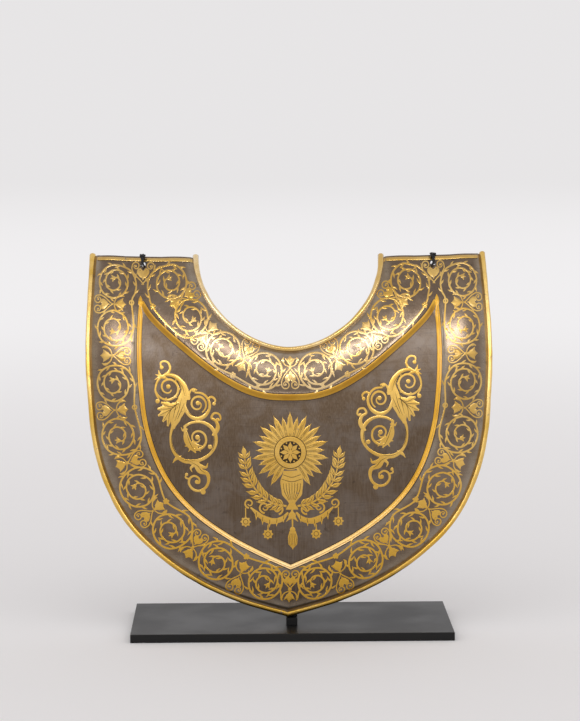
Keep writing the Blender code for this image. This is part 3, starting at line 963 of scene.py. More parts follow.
def spray():
    """The left field's scrolling acanthus, with its engraved lines in a second inlay."""
    ink, cut = Inlay(crown=SPRAY_CROWN, breadth=SPRAY_BREADTH), engraving()
    # Top hook and its scalloped leaf
    ink.curve(
        (
            (-80.5, 151.8), (-78.4, 153.4), (-77.3, 156.2), (-78.4, 159.2), (-81.0, 160.3),
            (-83.4, 159.2), (-83.2, 156.6),
        ),
        2.6, 1.9, 1.5, 1.3,
    )
    ink.dot((-82.8, 156.4), 1.35)
    for x, y, bend in ((-86.8, 151.9, 0.6), (-87.2, 148.6, 0.2), (-84.8, 154.6, 1.0)):
        ink.curve(((-80.2, 150.0), (-83.6, 150.2 + bend), (x, y)), 2.4, 2.6, 0.5)
    # First scroll
    ink.curve(
        (
            (-66.8, 136.5), (-67.3, 141.6), (-69.6, 147.0), (-74.0, 151.0), (-80.2, 151.8),
            (-85.0, 148.4), (-86.8, 143.2), (-86.0, 139.0), (-84.2, 136.2),
        ),
        6.0, 5.2, 3.6, 2.6, 2.0, 1.5, 1.2,
    )
    ink.dot((-85.4, 135.2), 1.5)
    ink.stroke(swirl((-78.2, 143.4), [8.4, 6.6, 6.0, 5.2, 3.2, 1.8], 196, 500, 50), 1.2, 1.9, 1.8, 1.5, 1.1)
    ink.dot((-78.4, 144.6), 1.5)
    thorns(ink, swirl((-78.2, 143.4), [6.2, 5.4], 230, 230, 24), 5.0, size=1.9, sides=(-1,))
    # Acanthus body with its lobes
    ink.curve(
        (
            (-68.8, 143.5), (-69.0, 138.0), (-71.2, 131.5), (-73.8, 125.0), (-75.4, 118.5),
        ),
        3.2, 7.4, 10.4, 8.2, 2.8,
    )
    for x, y, bend, width in (
        (-83.0, 134.6, 2.2, 5.4),
        (-85.4, 130.4, 1.2, 5.8),
        (-85.0, 126.2, 0.4, 5.6),
        (-82.0, 122.6, 0.0, 5.2),
        (-78.8, 119.8, -0.4, 4.4),
    ):
        between = ((x - 76.8) / 2, (y + 129.8 + bend) / 2)
        leaf = ((-71.4, 134.0), (-76.8, 129.8 + bend), between, (x, y))
        ink.curve(leaf, 4.0, width, width, 1.6)
        vein = ((-71.8, 134.4), (-77.0, 129.8 + bend), (x * 0.93 - 5.2, y * 0.93 + 9.0))
        cut.curve(vein, 0.28, 0.34, 0.2, lift=GILT_CROWN)
    for x, y in ((-66.0, 134.6), (-67.2, 129.0)):
        vein = ((-72.4, 124.6), (-70.4, 129.0), (x - 2.0, y))
        cut.curve(vein, 0.26, 0.3, 0.2, lift=GILT_CROWN)
    for line in (
        ((-67.6, 139.0), (-69.8, 145.4), (-74.4, 149.6), (-80.0, 150.6)),
        ((-69.6, 142.6), (-72.2, 147.2), (-76.0, 149.4)),
        ((-66.6, 130.4), (-63.4, 127.2), (-58.4, 126.4)),
        ((-75.4, 118.0), (-76.4, 111.6), (-75.2, 106.0), (-72.0, 101.6)),
        ((-70.6, 99.6), (-65.0, 98.4), (-59.4, 99.4)),
        ((-50.2, 104.8), (-48.6, 110.2), (-49.0, 115.0)),
        ((-63.6, 97.4), (-59.8, 95.6), (-57.2, 92.6), (-54.6, 91.0)),
        ((-71.8, 139.4), (-73.6, 132.0), (-75.4, 124.6)),
        ((-69.8, 137.4), (-71.4, 130.6), (-74.2, 123.2)),
    ):
        cut.curve(line, 0.15, 0.34, 0.34, 0.15, lift=GILT_CROWN)
    # Second scroll
    ink.curve(
        (
            (-68.2, 133.4), (-66.2, 128.8), (-62.6, 125.6), (-58.4, 125.2), (-54.2, 127.6),
            (-51.8, 132.2), (-52.8, 137.4), (-56.4, 140.8), (-61.4, 141.4),
        ),
        2.6, 2.8, 3.0, 2.2, 1.8, 1.5,
    )
    ink.stroke(swirl((-59.4, 134.0), [5.6, 5.0, 3.8, 2.4, 1.2], 300, 520, 44), 1.2, 1.8, 1.5, 1.1)
    ink.dot((-59.3, 134.8), 1.5)
    ink.curve(((-64.6, 137.4), (-64.8, 141.0), (-62.4, 143.6), (-59.8, 142.8)), 1.4, 1.6, 1.2)
    ink.curve(((-53.4, 137.2), (-50.6, 138.8), (-48.2, 137.0), (-49.0, 134.4)), 1.8, 1.8, 1.2)
    ink.dot((-49.0, 134.6), 1.2)
    ink.dot((-62.0, 142.6), 1.2)
    # Long stem round the third scroll
    ink.curve(
        (
            (-75.2, 121.0), (-76.8, 114.6), (-76.4, 107.6), (-73.4, 101.8), (-68.4, 98.4),
            (-62.4, 98.2), (-56.6, 99.8), (-51.2, 103.6), (-48.2, 109.0), (-48.2, 115.4),
            (-51.4, 120.4), (-56.8, 123.0), (-63.0, 122.6), (-67.8, 120.2),
        ),
        2.6, 2.0, 2.6, 3.4, 2.6, 2.2, 3.0, 2.8, 2.0, 1.8,
    )
    ink.stroke(swirl((-59.6, 112.8), [9.0, 7.4, 5.4, 4.2, 3.0, 1.4], 138, 560, 50), 1.6, 2.0, 1.7, 1.2)
    ink.dot((-59.6, 113.4), 1.6)
    ink.curve(((-68.2, 120.6), (-66.6, 113.6), (-64.6, 108.4), (-60.8, 103.6)), 1.4, 3.6, 5.0, 1.2)
    for x, y in ((-67.8, 107.6), (-65.4, 104.2), (-57.6, 104.6), (-56.6, 108.0)):
        ink.curve(((-63.4, 110.6), (x * 0.4 - 37.8, y * 0.4 + 65.4), (x, y)), 2.4, 2.4, 0.7)
    cut.curve(((-66.8, 116.4), (-64.4, 109.6), (-61.6, 105.0)), 0.2, 0.34, 0.2, lift=GILT_CROWN)
    ink.dot((-51.6, 107.6), 1.5)
    ink.curve(((-66.6, 121.4), (-68.8, 117.4), (-70.2, 119.4)), 1.6, 1.8, 0.6)
    # Right hook
    ink.curve(
        (
            (-49.4, 114.4), (-46.6, 119.6), (-47.8, 123.8), (-50.6, 125.8), (-49.0, 128.6),
            (-45.8, 128.2), (-44.8, 125.2), (-46.8, 123.9),
        ),
        3.2, 3.4, 2.2, 1.8, 1.6, 1.3,
    )
    ink.dot((-46.6, 124.6), 1.2)
    # Lower leaf, stem and last scroll
    ink.curve(((-70.0, 100.6), (-73.6, 99.4), (-75.6, 96.8)), 2.6, 2.4, 0.6)
    ink.curve(
        (
            (-66.0, 98.4), (-60.4, 96.4), (-58.0, 92.4), (-53.6, 90.6), (-52.6, 86.4),
            (-54.4, 82.0), (-58.4, 79.6), (-62.6, 80.4), (-65.2, 83.8), (-64.6, 87.4),
            (-61.6, 89.0), (-58.8, 87.4), (-58.6, 84.8), (-60.2, 84.4),
        ),
        3.2, 5.6, 3.2, 2.2, 2.0, 1.9, 1.7, 1.4,
    )
    ink.curve(((-58.4, 95.4), (-54.4, 94.6), (-53.0, 97.4)), 3.2, 2.2, 0.6)
    ink.curve(((-60.8, 96.4), (-64.0, 94.0), (-63.2, 91.4)), 2.6, 2.0, 0.6)
    ink.dot((-60.2, 85.2), 1.4)
    ink.curve(((-64.6, 86.8), (-67.4, 87.8), (-66.8, 90.2)), 1.6, 1.4, 0.9)
    ink.dot((-66.8, 89.8), 1.1)
    ink.dot((-56.2, 79.0), 1.8)
    return ink, cut


def lobe(ink, centre, angle, inner, outer, width):
    """A pointed petal that radiates from a centre."""
    way = turned(angle)
    middle = Vector(centre)
    points = [middle + way * (inner + (outer - inner) * t) for t in (0, 0.35, 0.7, 0.88, 1)]
    widths = [width * share for share in (0.45, 0.8, 1.0, 0.62)]
    ink.stroke(smooth_line(points, 3), *widths, 0.15)


def emblem():
    """A fan of palm leaves with a rosette, between laurel branches, over swags and a tassel."""
    ink, cut = Inlay(), engraving()
    fan(ink, cut)
    urn(ink, cut)
    for s in (-1, 1):
        laurel(ink, cut, s)
        swag(ink, cut, s)
    tassel(ink, cut)
    return ink, cut


def fan(ink, cut):
    """Long palm leaves and short ones between them, round a rosette in a ring with beads."""
    for k in range(FAN_LEAVES):
        off_middle = k - (FAN_LEAVES - 1) / 2
        angle = radians(90 + off_middle * FAN_TURN)
        long = k % 2 == 0
        reach = (25.4 if long else 22.8) - 1.0 * abs(off_middle) / 12
        lobe(ink, FAN_MIDDLE, angle, 5.0, reach, 5.4 if long else 4.6)
        for off in (-0.05, 0.0, 0.05):
            end = FAN_MIDDLE + turned(angle + off * 0.5) * (reach - 2.5)
            begin = FAN_MIDDLE + turned(angle + off) * 10.6
            cut.stroke([begin, begin.lerp(end, 0.5), end], 0.22, 0.26, 0.14, lift=GILT_CROWN)
    ink.dot(FAN_MIDDLE, 11.4, sides=48, lift=0.16)
    cut.ring(FAN_MIDDLE, 10.2, 0.5, lift=0.36)
    for k in range(28):
        ink.dot(FAN_MIDDLE + 8.9 * turned(2 * pi * k / 28), 0.62, sides=7, lift=0.42)
    cut.dot(FAN_MIDDLE, 7.7, sides=44, lift=0.36)
    for k in range(8):
        way = turned(2 * pi * k / 8)
        points = [FAN_MIDDLE + way, FAN_MIDDLE + 4.0 * way, FAN_MIDDLE + 6.5 * way]
        ink.stroke(smooth_line(points, 4), 0.8, 3.3, 0.4, lift=0.42)
        ink.dot(FAN_MIDDLE + 6.2 * turned(2 * pi * (k + 0.5) / 8), 0.6, sides=8, lift=0.42)
    ink.dot(FAN_MIDDLE, 1.5, lift=0.56)


def urn(ink, cut):
    """A fluted urn under the fan."""
    body = ((0.2, 93.0), (0.4, 86.0), (0.5, 79.0), (0.5, 71.6))
    ink.curve(body, 11.0, 15.5, 14.0, 4.2, steps=8, lift=0.05)
    ink.curve(((0.5, 73.0), (0.5, 68.2)), 3.6, 8.4, steps=4, lift=0.05)
    for up, half in ((90.4, 5.6), (87.6, 6.4)):
        band = ((0.4 - half, up), (0.4, up - 1.6), (0.4 + half, up))
        cut.curve(band, 0.3, 0.36, 0.3, lift=0.3)
    for k in range(-3, 4):
        flute = ((0.5 + k * 1.85, 85.4 - abs(k) * 0.2), (0.5 + k * 1.6, 80.0), (0.5 + k * 0.7, 74.4))
        cut.curve(flute, 0.24, 0.32, 0.2, lift=0.3)


def beside_middle(side, across, up):
    """A place this far to one side of the middle ornament's middle line."""
    return Vector((EMBLEM_ACROSS + side * across, up))


def laurel(ink, cut, s):
    """A laurel branch with paired leaves and berries on one side."""
    places = ((3.5, 70.4), (11.5, 72.0), (19.5, 77.0), (25.5, 84.6), (29.0, 93.8), (30.0, 101.4))
    line = smooth_line([beside_middle(s, *place) for place in places], 8)
    ink.stroke(line, 1.5, 1.2, 0.8)
    pairs = 12
    for k in range(pairs):
        spot = 2 + int(k * (len(line) - 4) / (pairs - 1))
        place, after = line[spot], line[min(spot + 1, len(line) - 1)]
        along = (after - place).normalized()
        away = Vector((-along.y, along.x))
        for side in (-1, 1):
            grow = 1 - 0.28 * abs(k - 5) / 6
            tip = place + (along * 0.78 + away * side * 0.66).normalized() * 8.2 * grow
            mid = place.lerp(tip, 0.5) + away * side * 0.5
            ink.curve((place, mid, tip), 0.6, 3.3 * grow, 0.2, steps=4, lift=0.02 * side)
            vein = (place, mid, place.lerp(tip, 0.86))
            cut.curve(vein, 0.18, 0.3, 0.15, steps=3, lift=GILT_CROWN + 0.02)
        if k % 3 == 1:
            ink.dot(place + away * s * -3.4, 0.9, sides=8, lift=0.06)
    end = line[-1]
    leaf = (end, end + Vector((s * 0.4, 3.4)), end + Vector((s * 1.0, 7.0)))
    ink.curve(leaf, 1.0, 3.4, 0.2, steps=4)


def swag(ink, cut, s):
    """A swag with scrolls, leaves and two hanging stars on one side."""
    places = ((2.5, 66.4), (7.0, 62.0), (13.5, 61.0), (20.0, 64.0), (26.5, 69.6))
    ink.curve([beside_middle(s, *place) for place in places], 1.4, 3.6, 4.4, 3.2, 1.2)
    for place, sizes, start, sweep, width in (
        ((27.2, 72.0), (2.8, 2.6, 1.6, 0.8), -95, 430, 1.3),
        ((9.0, 68.4), (3.2, 2.8, 1.8, 0.8), -80, -450, 1.4),
        ((17.5, 69.4), (3.4, 2.9, 1.9, 0.8), -90, 450, 1.4),
    ):
        line = swirl(beside_middle(s, *place), sizes, start, s * sweep, 26)
        ink.stroke(line, width, 1.2, 0.9)
    for x, y in ((5.2, 63.6), (9.6, 61.2), (14.2, 60.4), (18.6, 62.2), (22.6, 65.2)):
        leaf = (beside_middle(s, x, y), beside_middle(s, x + 0.4, y - 3.6))
        ink.curve(leaf, 2.4, 0.3, steps=3)
        vein = (beside_middle(s, x, y + 1.4), beside_middle(s, x + 0.3, y - 1.4))
        cut.curve(vein, 0.3, 0.3, steps=3, lift=0.2)
    for x, top, low in ((29.6, 69.4, 60.4), (15.4, 58.6, 52.6)):
        ink.curve((beside_middle(s, x, top), beside_middle(s, x, low + 2.4)), 0.8, 0.8, steps=3)
        star = beside_middle(s, x, low)
        ink.dot(star, 3.7, sides=32, petals=8, depth=0.28)
        cut.ring(star, 1.5, 0.35, sides=16, lift=0.16)
        ink.dot(star, 0.8, sides=8, lift=0.08)


def tassel(ink, cut):
    """The knot between the swags, and the tassel under it."""
    ink.dot(KNOT_MIDDLE, 2.5, sides=16, lift=0.04)
    for angle in (-135, -45, 90):
        way = turned(radians(angle))
        ink.curve((KNOT_MIDDLE + way * 1.6, KNOT_MIDDLE + way * 5.4), 2.2, 0.4, steps=4)
    ink.curve(((0.7, 62.0), (0.8, 55.6)), 1.2, 1.0, steps=4)
    ink.dot((0.8, 55.4), 1.9, sides=14, lift=0.04)
    ink.curve(((0.8, 54.4), (0.9, 50.0), (1.0, 46.6), (1.0, 42.8)), 4.6, 6.6, 6.2, 0.4, steps=6)
    for k in range(-2, 3):
        thread = ((0.85 + k * 0.8, 53.0), (0.95 + k * 1.15, 48.8), (1.0 + k * 0.8, 45.2))
        cut.curve(thread, 0.22, 0.28, 0.2, steps=4, lift=GILT_CROWN)


# Ties


def rounded(corners, radius, steps=6):
    """A closed line through the corners, which are rounded off."""
    line = []
    for i, here in enumerate(corners):
        before = corners[i - 1] - here
        after = corners[(i + 1) % len(corners)] - here
        start = here + before.normalized() * min(radius, before.length * 0.4)
        end = here + after.normalized() * min(radius, after.length * 0.4)
        for step in range(steps + 1):
            t = step / steps
            line.append(start * (1 - t) ** 2 + here * 2 * t * (1 - t) + end * t**2)
    return line


def resample(line, spacing, closed):
    """Points at even distances along a line."""
    if closed:
        line = line + [line[0]]
    made, walked = [line[0]], 0.0
    for a, b in zip(line, line[1:]):
        length = (b - a).length
        while walked + length >= spacing:
            a = a.lerp(b, (spacing - walked) / length)
            made.append(a)
            length = (b - a).length
            walked = 0.0
        walked += length
    return made


def add_cord(mesh, line, diameter, closed=False):
    """Two strands twisted round each other along a line."""
    line = resample(line, diameter * CORD_SPACING, closed)
    strand = diameter * STRAND
    for phase in (0, pi):
        rings = []
        walked = 0.0
        frame_x = Vector((0.3, 0.2, 1))
        for i, place in enumerate(line):
            before = line[i - 1] if i or closed else place
            after = line[(i + 1) % len(line)] if i < len(line) - 1 or closed else place
            along = (after - before).normalized()
            frame_x = (frame_x - along * frame_x.dot(along)).normalized()
            frame_y = along.cross(frame_x)
            walked += diameter * CORD_SPACING
            twist = 2 * pi * walked / CORD_PITCH + phase
            centre = place + (frame_x * cos(twist) + frame_y * sin(twist)) * (diameter / 2 - strand)
            ring = []
            for k in range(CORD_SIDES):
                angle = 2 * pi * k / CORD_SIDES
                off = (frame_x * cos(angle) + frame_y * sin(angle)) * strand
                ring.append(mesh.verts.new(centre + off))
            rings.append(ring)
        bridge(mesh, rings, closed_ring=True)
        mesh.faces.new(rings[0])
        mesh.faces.new(rings[-1])


def tie_mesh(side):
    """A thin cord through a hole and round the stand's rod, knotted in front in a small bow."""
    across = side * STRAP_MIDDLE
    centre = surface(across, HOLE_UP)
    normal = outward(across, HOLE_UP)
    right, rise = slopes(across, HOLE_UP)
    rise = (rise - normal * rise.dot(normal)).normalized()
    away = TIE_GAP + TIE_DIAMETER / 2
    front = BAND_CROWN + away
    between = -(SHEET + COVE_DEPTH + YOKE_GAP / 2)
    rear = -(YOKE_BACK + YOKE_DIAMETER / 2 + away)
    top = (surface(across, PLATE_HEIGHT) - centre).dot(rise) + away
    through = -HOLE_DIAMETER / 8
    under = -(YOKE_DIAMETER / 2 + away)
    corners = (
        (front, through),
        (front, top),
        (-SHEET, top),
        (rear, YOKE_DIAMETER / 2),
        (rear, under),
        (between, under),
        (between, through),
    )

    def at(out, up, aside=0.0):
        return centre + normal * out + rise * up + right * aside

    mesh = bmesh.new()
    loop = rounded([at(*corner) for corner in corners], 2 * TIE_DIAMETER)
    add_cord(mesh, loop, TIE_DIAMETER, closed=True)
    knot_up = top - KNOT_BELOW_TOP
    turns = []
    for k in range(27):
        a = k * pi / 6
        turns.append(at(front + 0.5 + 1.0 * cos(a), knot_up + 0.9 * sin(a * 0.5), 1.45 * sin(a)))
    add_cord(mesh, turns, TIE_DIAMETER)
    for s, reach, high, tail_length in ((-1, 1.9, 1.7, 8.6), (1, 1.5, 1.3, 7.6)):
        ear = [
            at(front + 0.5, knot_up, 0.2 * s),
            at(front + 0.2, knot_up + high, 1.3 * s),
            at(front - 0.4, knot_up + high * 1.15, reach * s),
            at(front + 0.1, knot_up + 0.2, reach * 0.9 * s),
            at(front + 0.6, knot_up - 0.2, 0.3 * s),
        ]
        add_cord(mesh, smooth_line(ear, 6), TIE_DIAMETER * EAR_THICKNESS)
        tail = [
            at(front + 0.5, knot_up - 0.3, 0.2 * s),
            at(front + 0.9, knot_up - 1.8, 0.55 * s),
            at(front + 0.3, knot_up - 0.6 * tail_length, 0.40 * s),
            at(front - 0.4, knot_up - tail_length, 0.60 * s),
        ]
        add_cord(mesh, smooth_line(tail, 6), TIE_DIAMETER * TAIL_THICKNESS)
    bmesh.ops.recalc_face_normals(mesh, faces=mesh.faces)
    return mesh


# Materials


def add_node(tree, kind, inputs=None, **settings):
    """A shader node. An input is a value or another node's output."""
    made = tree.nodes.new(kind)
    for name, value in settings.items():
        setattr(made, name, value)
    for name, value in (inputs or {}).items():
        if isinstance(value, bpy.types.NodeSocket):
            tree.links.new(value, made.inputs[name])
        else:
            made.inputs[name].default_value = value
    return made


def noise(tree, coords, scale, detail=4.0, distortion=0.0, roughness=0.5):
    """Noise, with its scale given for a metre, or one for each axis."""
    if isinstance(scale, tuple):
        inputs = {"Vector": coords, "Scale": scale}
        coords = add_node(tree, "ShaderNodeMapping", inputs).outputs["Vector"]
        scale = 1.0
    inputs = {"Vector": coords, "Scale": scale, "Detail": detail, "Distortion": distortion}
    inputs["Roughness"] = roughness
    return add_node(tree, "ShaderNodeTexNoise", inputs).outputs["Fac"]


def span(tree, value, low, high, to_low=0.0, to_high=1.0):
    """Maps a range of a value to another range, clamped, with soft ends."""
    inputs = {"Value": value, "From Min": low, "From Max": high, "To Min": to_low, "To Max": to_high}
    made = add_node(tree, "ShaderNodeMapRange", inputs, interpolation_type="SMOOTHSTEP")
    return made.outputs["Result"]


def blend(tree, share, first, second):
    """The first colour, with this share of the second in it."""
    made = add_node(tree, "ShaderNodeMix", data_type="RGBA")
    for index, value in ((0, share), (6, first), (7, second)):
        if isinstance(value, bpy.types.NodeSocket):
            tree.links.new(value, made.inputs[index])
        else:
            made.inputs[index].default_value = value if index == 0 else (*value, 1)
    return made.outputs[2]


def total(tree, *terms):
    """Sum of (value, factor) terms."""
    result = None
    for value, factor in terms:
        scaled = add_node(tree, "ShaderNodeMath", {0: value, 1: factor}, operation="MULTIPLY").outputs[0]
        if result is None:
            result = scaled
        else:
            result = add_node(tree, "ShaderNodeMath", {0: result, 1: scaled}, operation="ADD").outputs[0]
    return result


def start_material(name, **settings):
    """A new material, its node tree, its shader and the object's coordinates."""
    made = bpy.data.materials.new(name)
    made.use_nodes = True
    tree = made.node_tree
    shader = tree.nodes["Principled BSDF"]
    for key, value in settings.items():
        shader.inputs[key].default_value = value
    coords = add_node(tree, "ShaderNodeTexCoord").outputs["Object"]
    return made, tree, shader, coords


def add_bump(tree, shader, height, depth):
    inputs = {"Height": height, "Distance": depth * MM, "Strength": 1.0}
    made = add_node(tree, "ShaderNodeBump", inputs)
    tree.links.new(made.outputs["Normal"], shader.inputs["Normal"])


def by_height(tree, coords, at_low, at_high, low=DARK_LOW, high=DARK_HIGH):
    """A value that changes between two heights above the plate's point."""
    up = add_node(tree, "ShaderNodeSeparateXYZ", {"Vector": coords}).outputs["Z"]
    return span(tree, up, (PLATE_Z + low) * MM, (PLATE_Z + high) * MM, at_low, at_high)


def waxed(weight, roughness):
    """Bare metal under a thin clear wax."""
    return {"Metallic": 1.0, "Coat Weight": weight, "Coat Roughness": roughness}


def steel_material():
    """Old polished steel, brushed and stained: dull brown field, glossier ground behind scrolls, with
    painted shade darkening it towards the plate's point.
    """
    made, tree, shader, coords = start_material("worn_steel", **waxed(0.27, 0.17))
    ground = add_node(tree, "ShaderNodeAttribute", attribute_name="ground").outputs["Fac"]
    clouds = noise(tree, coords, 24.0, 5.0, 0.6)
    mottle = noise(tree, coords, 95.0, 6.0, 0.9, 0.62)
    grain = noise(tree, coords, 900.0, 3.0)
    brushed = noise(tree, coords, (1400.0, 1400.0, 36.0), 3.0)
    crossed = noise(tree, coords, (60.0, 60.0, 1500.0), 2.0)
    spots = span(tree, noise(tree, coords, 150.0, 6.0, 0.4, 0.62), 0.60, 0.72)
    brown = span(tree, total(tree, (clouds, 0.6), (mottle, 0.4)), 0.40, 0.60)
    field = blend(tree, brown, (0.155, 0.120, 0.095), (0.115, 0.076, 0.046))
    margin = blend(tree, brown, (0.310, 0.255, 0.195), (0.225, 0.170, 0.115))
    behind = blend(tree, brown, (0.205, 0.150, 0.105), (0.142, 0.098, 0.066))
    # Painted shade: the field and the ground behind the scrolls darken strongly towards the plate's point,
    # the margins a little.
    shade = by_height(tree, coords, 0.42, 1.0)
    field, behind = (blend(tree, shade, BLACK, tone) for tone in (field, behind))
    margin = blend(tree, by_height(tree, coords, 0.80, 1.0), BLACK, margin)
    colour = blend(tree, span(tree, ground, 0.0, PLAIN), field, margin)
    colour = blend(tree, span(tree, ground, PLAIN, 1.0), colour, behind)
    bright_lines = span(tree, brushed, 0.42, 0.64, 0.0, 0.20)
    colour = blend(tree, bright_lines, colour, (0.230, 0.175, 0.125))
    dark_lines = span(tree, crossed, 0.55, 0.75, 0.0, 0.30)
    colour = blend(tree, dark_lines, colour, (0.070, 0.050, 0.034))
    colour = blend(tree, span(tree, spots, 0.0, 1.0, 0.0, 0.50), colour, STAIN)
    tree.links.new(colour, shader.inputs["Base Color"])
    rough = total(tree, (clouds, 0.30), (grain, 0.16), (spots, 0.14), (brushed, 0.12))
    rough = span(tree, rough, 0.20, 0.52, 0.18, 0.32)
    dull = span(tree, ground, 0.0, 1.0, 0.20, 0.0)
    tree.links.new(total(tree, (rough, 1.0), (dull, 1.0)), shader.inputs["Roughness"])
    relief = total(tree, (grain, 0.25), (brushed, 0.3), (crossed, 0.3), (spots, -0.5), (mottle, 0.6))
    add_bump(tree, shader, relief, 0.035)
    return made


def gold_material(
    name, deep, pale, wax=1.0, smooth=0.24, coarse=0.44, wear=0.05, worn=(0.24, 0.19, 0.14),
    grit=0.03, richer_low=0.0, paler_low=0.0, bottom=0.84, top=1.0,
    top_shade_heights=(TOP_SHADE_LOW, TOP_SHADE_HIGH), richer_top=0.0
):
    """Fire gilding between a deep and a pale shade, worn through to the steel in places.

    Its roughness lies between smooth and coarse. It turns richer downwards by the share richer_low,
    as painted shade, and paler downwards by paler_low, as a painted reflection of the pale floor,
    and richer upwards by richer_top, as painted shade. Its brightness falls to bottom below, and to
    top above, within the heights it is given for the top: painted shade.
    """
    made, tree, shader, coords = start_material(name, **waxed(wax, 0.12))
    clouds = noise(tree, coords, 48.0, 5.0, 0.4)
    grain = noise(tree, coords, 1300.0, 3.0)
    rubs = noise(tree, coords, 260.0, 7.0, 0.5, 0.66)
    gold = blend(tree, span(tree, clouds, 0.33, 0.67), deep, pale)
    gold = blend(tree, span(tree, grain, 0.35, 0.7, 0.0, 0.28), gold, GRAIN_GOLD)
    # Painted shade: the gold turns richer and darker towards the point, and towards the top.
    richer = by_height(tree, coords, richer_low, 0.0, RICH_LOW, RICH_HIGH)
    gold = blend(tree, richer, gold, RICH_GOLD)
    gold = blend(tree, by_height(tree, coords, 0.0, richer_top, *top_shade_heights), gold, RICH_GOLD)
    # Painted reflection of the pale floor: the gold turns paler towards the point.
    paler = by_height(tree, coords, paler_low, 0.0, PALE_LOW, PALE_HIGH)
    gold = blend(tree, paler, gold, PALE_GOLD)
    bare = span(tree, rubs, 0.70 - wear, 0.78 - wear)
    colour = blend(tree, bare, gold, worn)
    # Painted shade: the brightness falls towards the point and towards the top.
    colour = blend(tree, by_height(tree, coords, bottom, 1.0), BLACK, colour)
    colour = blend(tree, by_height(tree, coords, 1.0, top, *top_shade_heights), BLACK, colour)
    tree.links.new(colour, shader.inputs["Base Color"])
    rough = total(tree, (clouds, 0.30), (grain, 0.30), (rubs, 0.2))
    tree.links.new(span(tree, rough, 0.25, 0.55, smooth, coarse), shader.inputs["Roughness"])
    add_bump(tree, shader, total(tree, (grain, 0.5), (rubs, 0.6)), grit)
    return made


def engraved_material():
    """The dark bottoms of engraved lines."""
    made, tree, shader, coords = start_material("engraved_steel", Metallic=1.0, Roughness=0.5)
    grain = noise(tree, coords, 900.0, 3.0)
    colour = blend(tree, grain, (0.030, 0.020, 0.012), (0.090, 0.062, 0.036))
    tree.links.new(colour, shader.inputs["Base Color"])
    return made


def paint_material():
    """Satin black paint with fine orange peel and a few pale chips."""
    made, tree, shader, coords = start_material("satin_black_paint", **{"Specular IOR Level": 0.28})
    peel = noise(tree, coords, 1100.0, 2.0)
    clouds = noise(tree, coords, 22.0, 4.0)
    chips = span(tree, noise(tree, coords, 420.0, 2.0, 0.0, 0.4), 0.80, 0.83)
    colour = blend(tree, clouds, (0.005, 0.005, 0.0055), (0.009, 0.0085, 0.008))
    colour = blend(tree, chips, colour, (0.25, 0.23, 0.21))
    tree.links.new(colour, shader.inputs["Base Color"])
    tree.links.new(span(tree, clouds, 0.3, 0.7, 0.36, 0.46), shader.inputs["Roughness"])
    add_bump(tree, shader, peel, 0.01)
    return made


def cord_material():
    """Black waxed thread."""
    made, tree, shader, coords = start_material("waxed_black_cord", Roughness=0.55)
    fibre = noise(tree, coords, 2600.0, 3.0)
    colour = blend(tree, fibre, (0.006, 0.006, 0.008), (0.022, 0.022, 0.026))
    tree.links.new(colour, shader.inputs["Base Color"])
    add_bump(tree, shader, fibre, 0.05)
    return made


# Stage, light and camera


def stage():
    """A pale floor that fades into the surroundings far away."""
    mesh = bmesh.new()
    centre = mesh.verts.new((0, 0, 0))
    ways = [turned(2 * pi * k / FLOOR_SIDES) for k in range(FLOOR_SIDES)]
    rings = []
    for radius in FLOOR_RADII:
        rings.append([mesh.verts.new((*(radius * way), 0)) for way in ways])
    bridge(mesh, rings, closed_ring=True)
    for a, b in zip(rings[0], rings[0][1:] + rings[0][:1]):
        mesh.faces.new((centre, a, b))
    bmesh.ops.recalc_face_normals(mesh, faces=mesh.faces)
    floor = add_object("floor", mesh)
    made, tree, shader, coords = start_material("pale_floor", Roughness=0.85)
    shader.inputs["Base Color"].default_value = (*FLOOR, 1)
    length = add_node(tree, "ShaderNodeVectorMath", {0: coords}, operation="LENGTH").outputs["Value"]
    far = span(tree, length, 0.3, 2.4)
    fade = blend(tree, span(tree, length, 3.0, 9.0), GLOW, BACKDROP)
    glow = add_node(tree, "ShaderNodeEmission", {"Color": fade, "Strength": 1.0})
    mixed = add_node(tree, "ShaderNodeMixShader", {0: far, 1: shader.outputs[0], 2: glow.outputs[0]})
    tree.links.new(mixed.outputs[0], tree.nodes["Material Output"].inputs["Surface"])
    floor.data.materials.append(made)


def surroundings():
    world = bpy.data.worlds.new("studio")
    bpy.context.scene.world = world
    world.use_nodes = True
    back = world.node_tree.nodes["Background"]
    back.inputs["Color"].default_value = (*BACKDROP, 1)
    back.inputs["Strength"].default_value = 1.0


def softboxes():
    target = Vector(LIGHT_TARGET_M)
    for name, azimuth, elevation, width, height, power in SOFTBOXES:
        reach = LIGHT_DISTANCE_M * cos(radians(elevation))
        way = Vector((reach * sin(radians(azimuth)), -reach * cos(radians(azimuth)), 0))
        place = target + way + Vector((0, 0, LIGHT_DISTANCE_M * sin(radians(elevation))))
        data = bpy.data.lights.new(name, "AREA")
        data.shape = "RECTANGLE"
        data.size, data.size_y = width, height
        data.energy = power
        made = bpy.data.objects.new(name, data)
        bpy.context.scene.collection.objects.link(made)
        made.location = place
        made.visible_diffuse = False
        made.rotation_mode = "QUATERNION"
        made.rotation_quaternion = (target - place).to_track_quat("-Z", "Y")


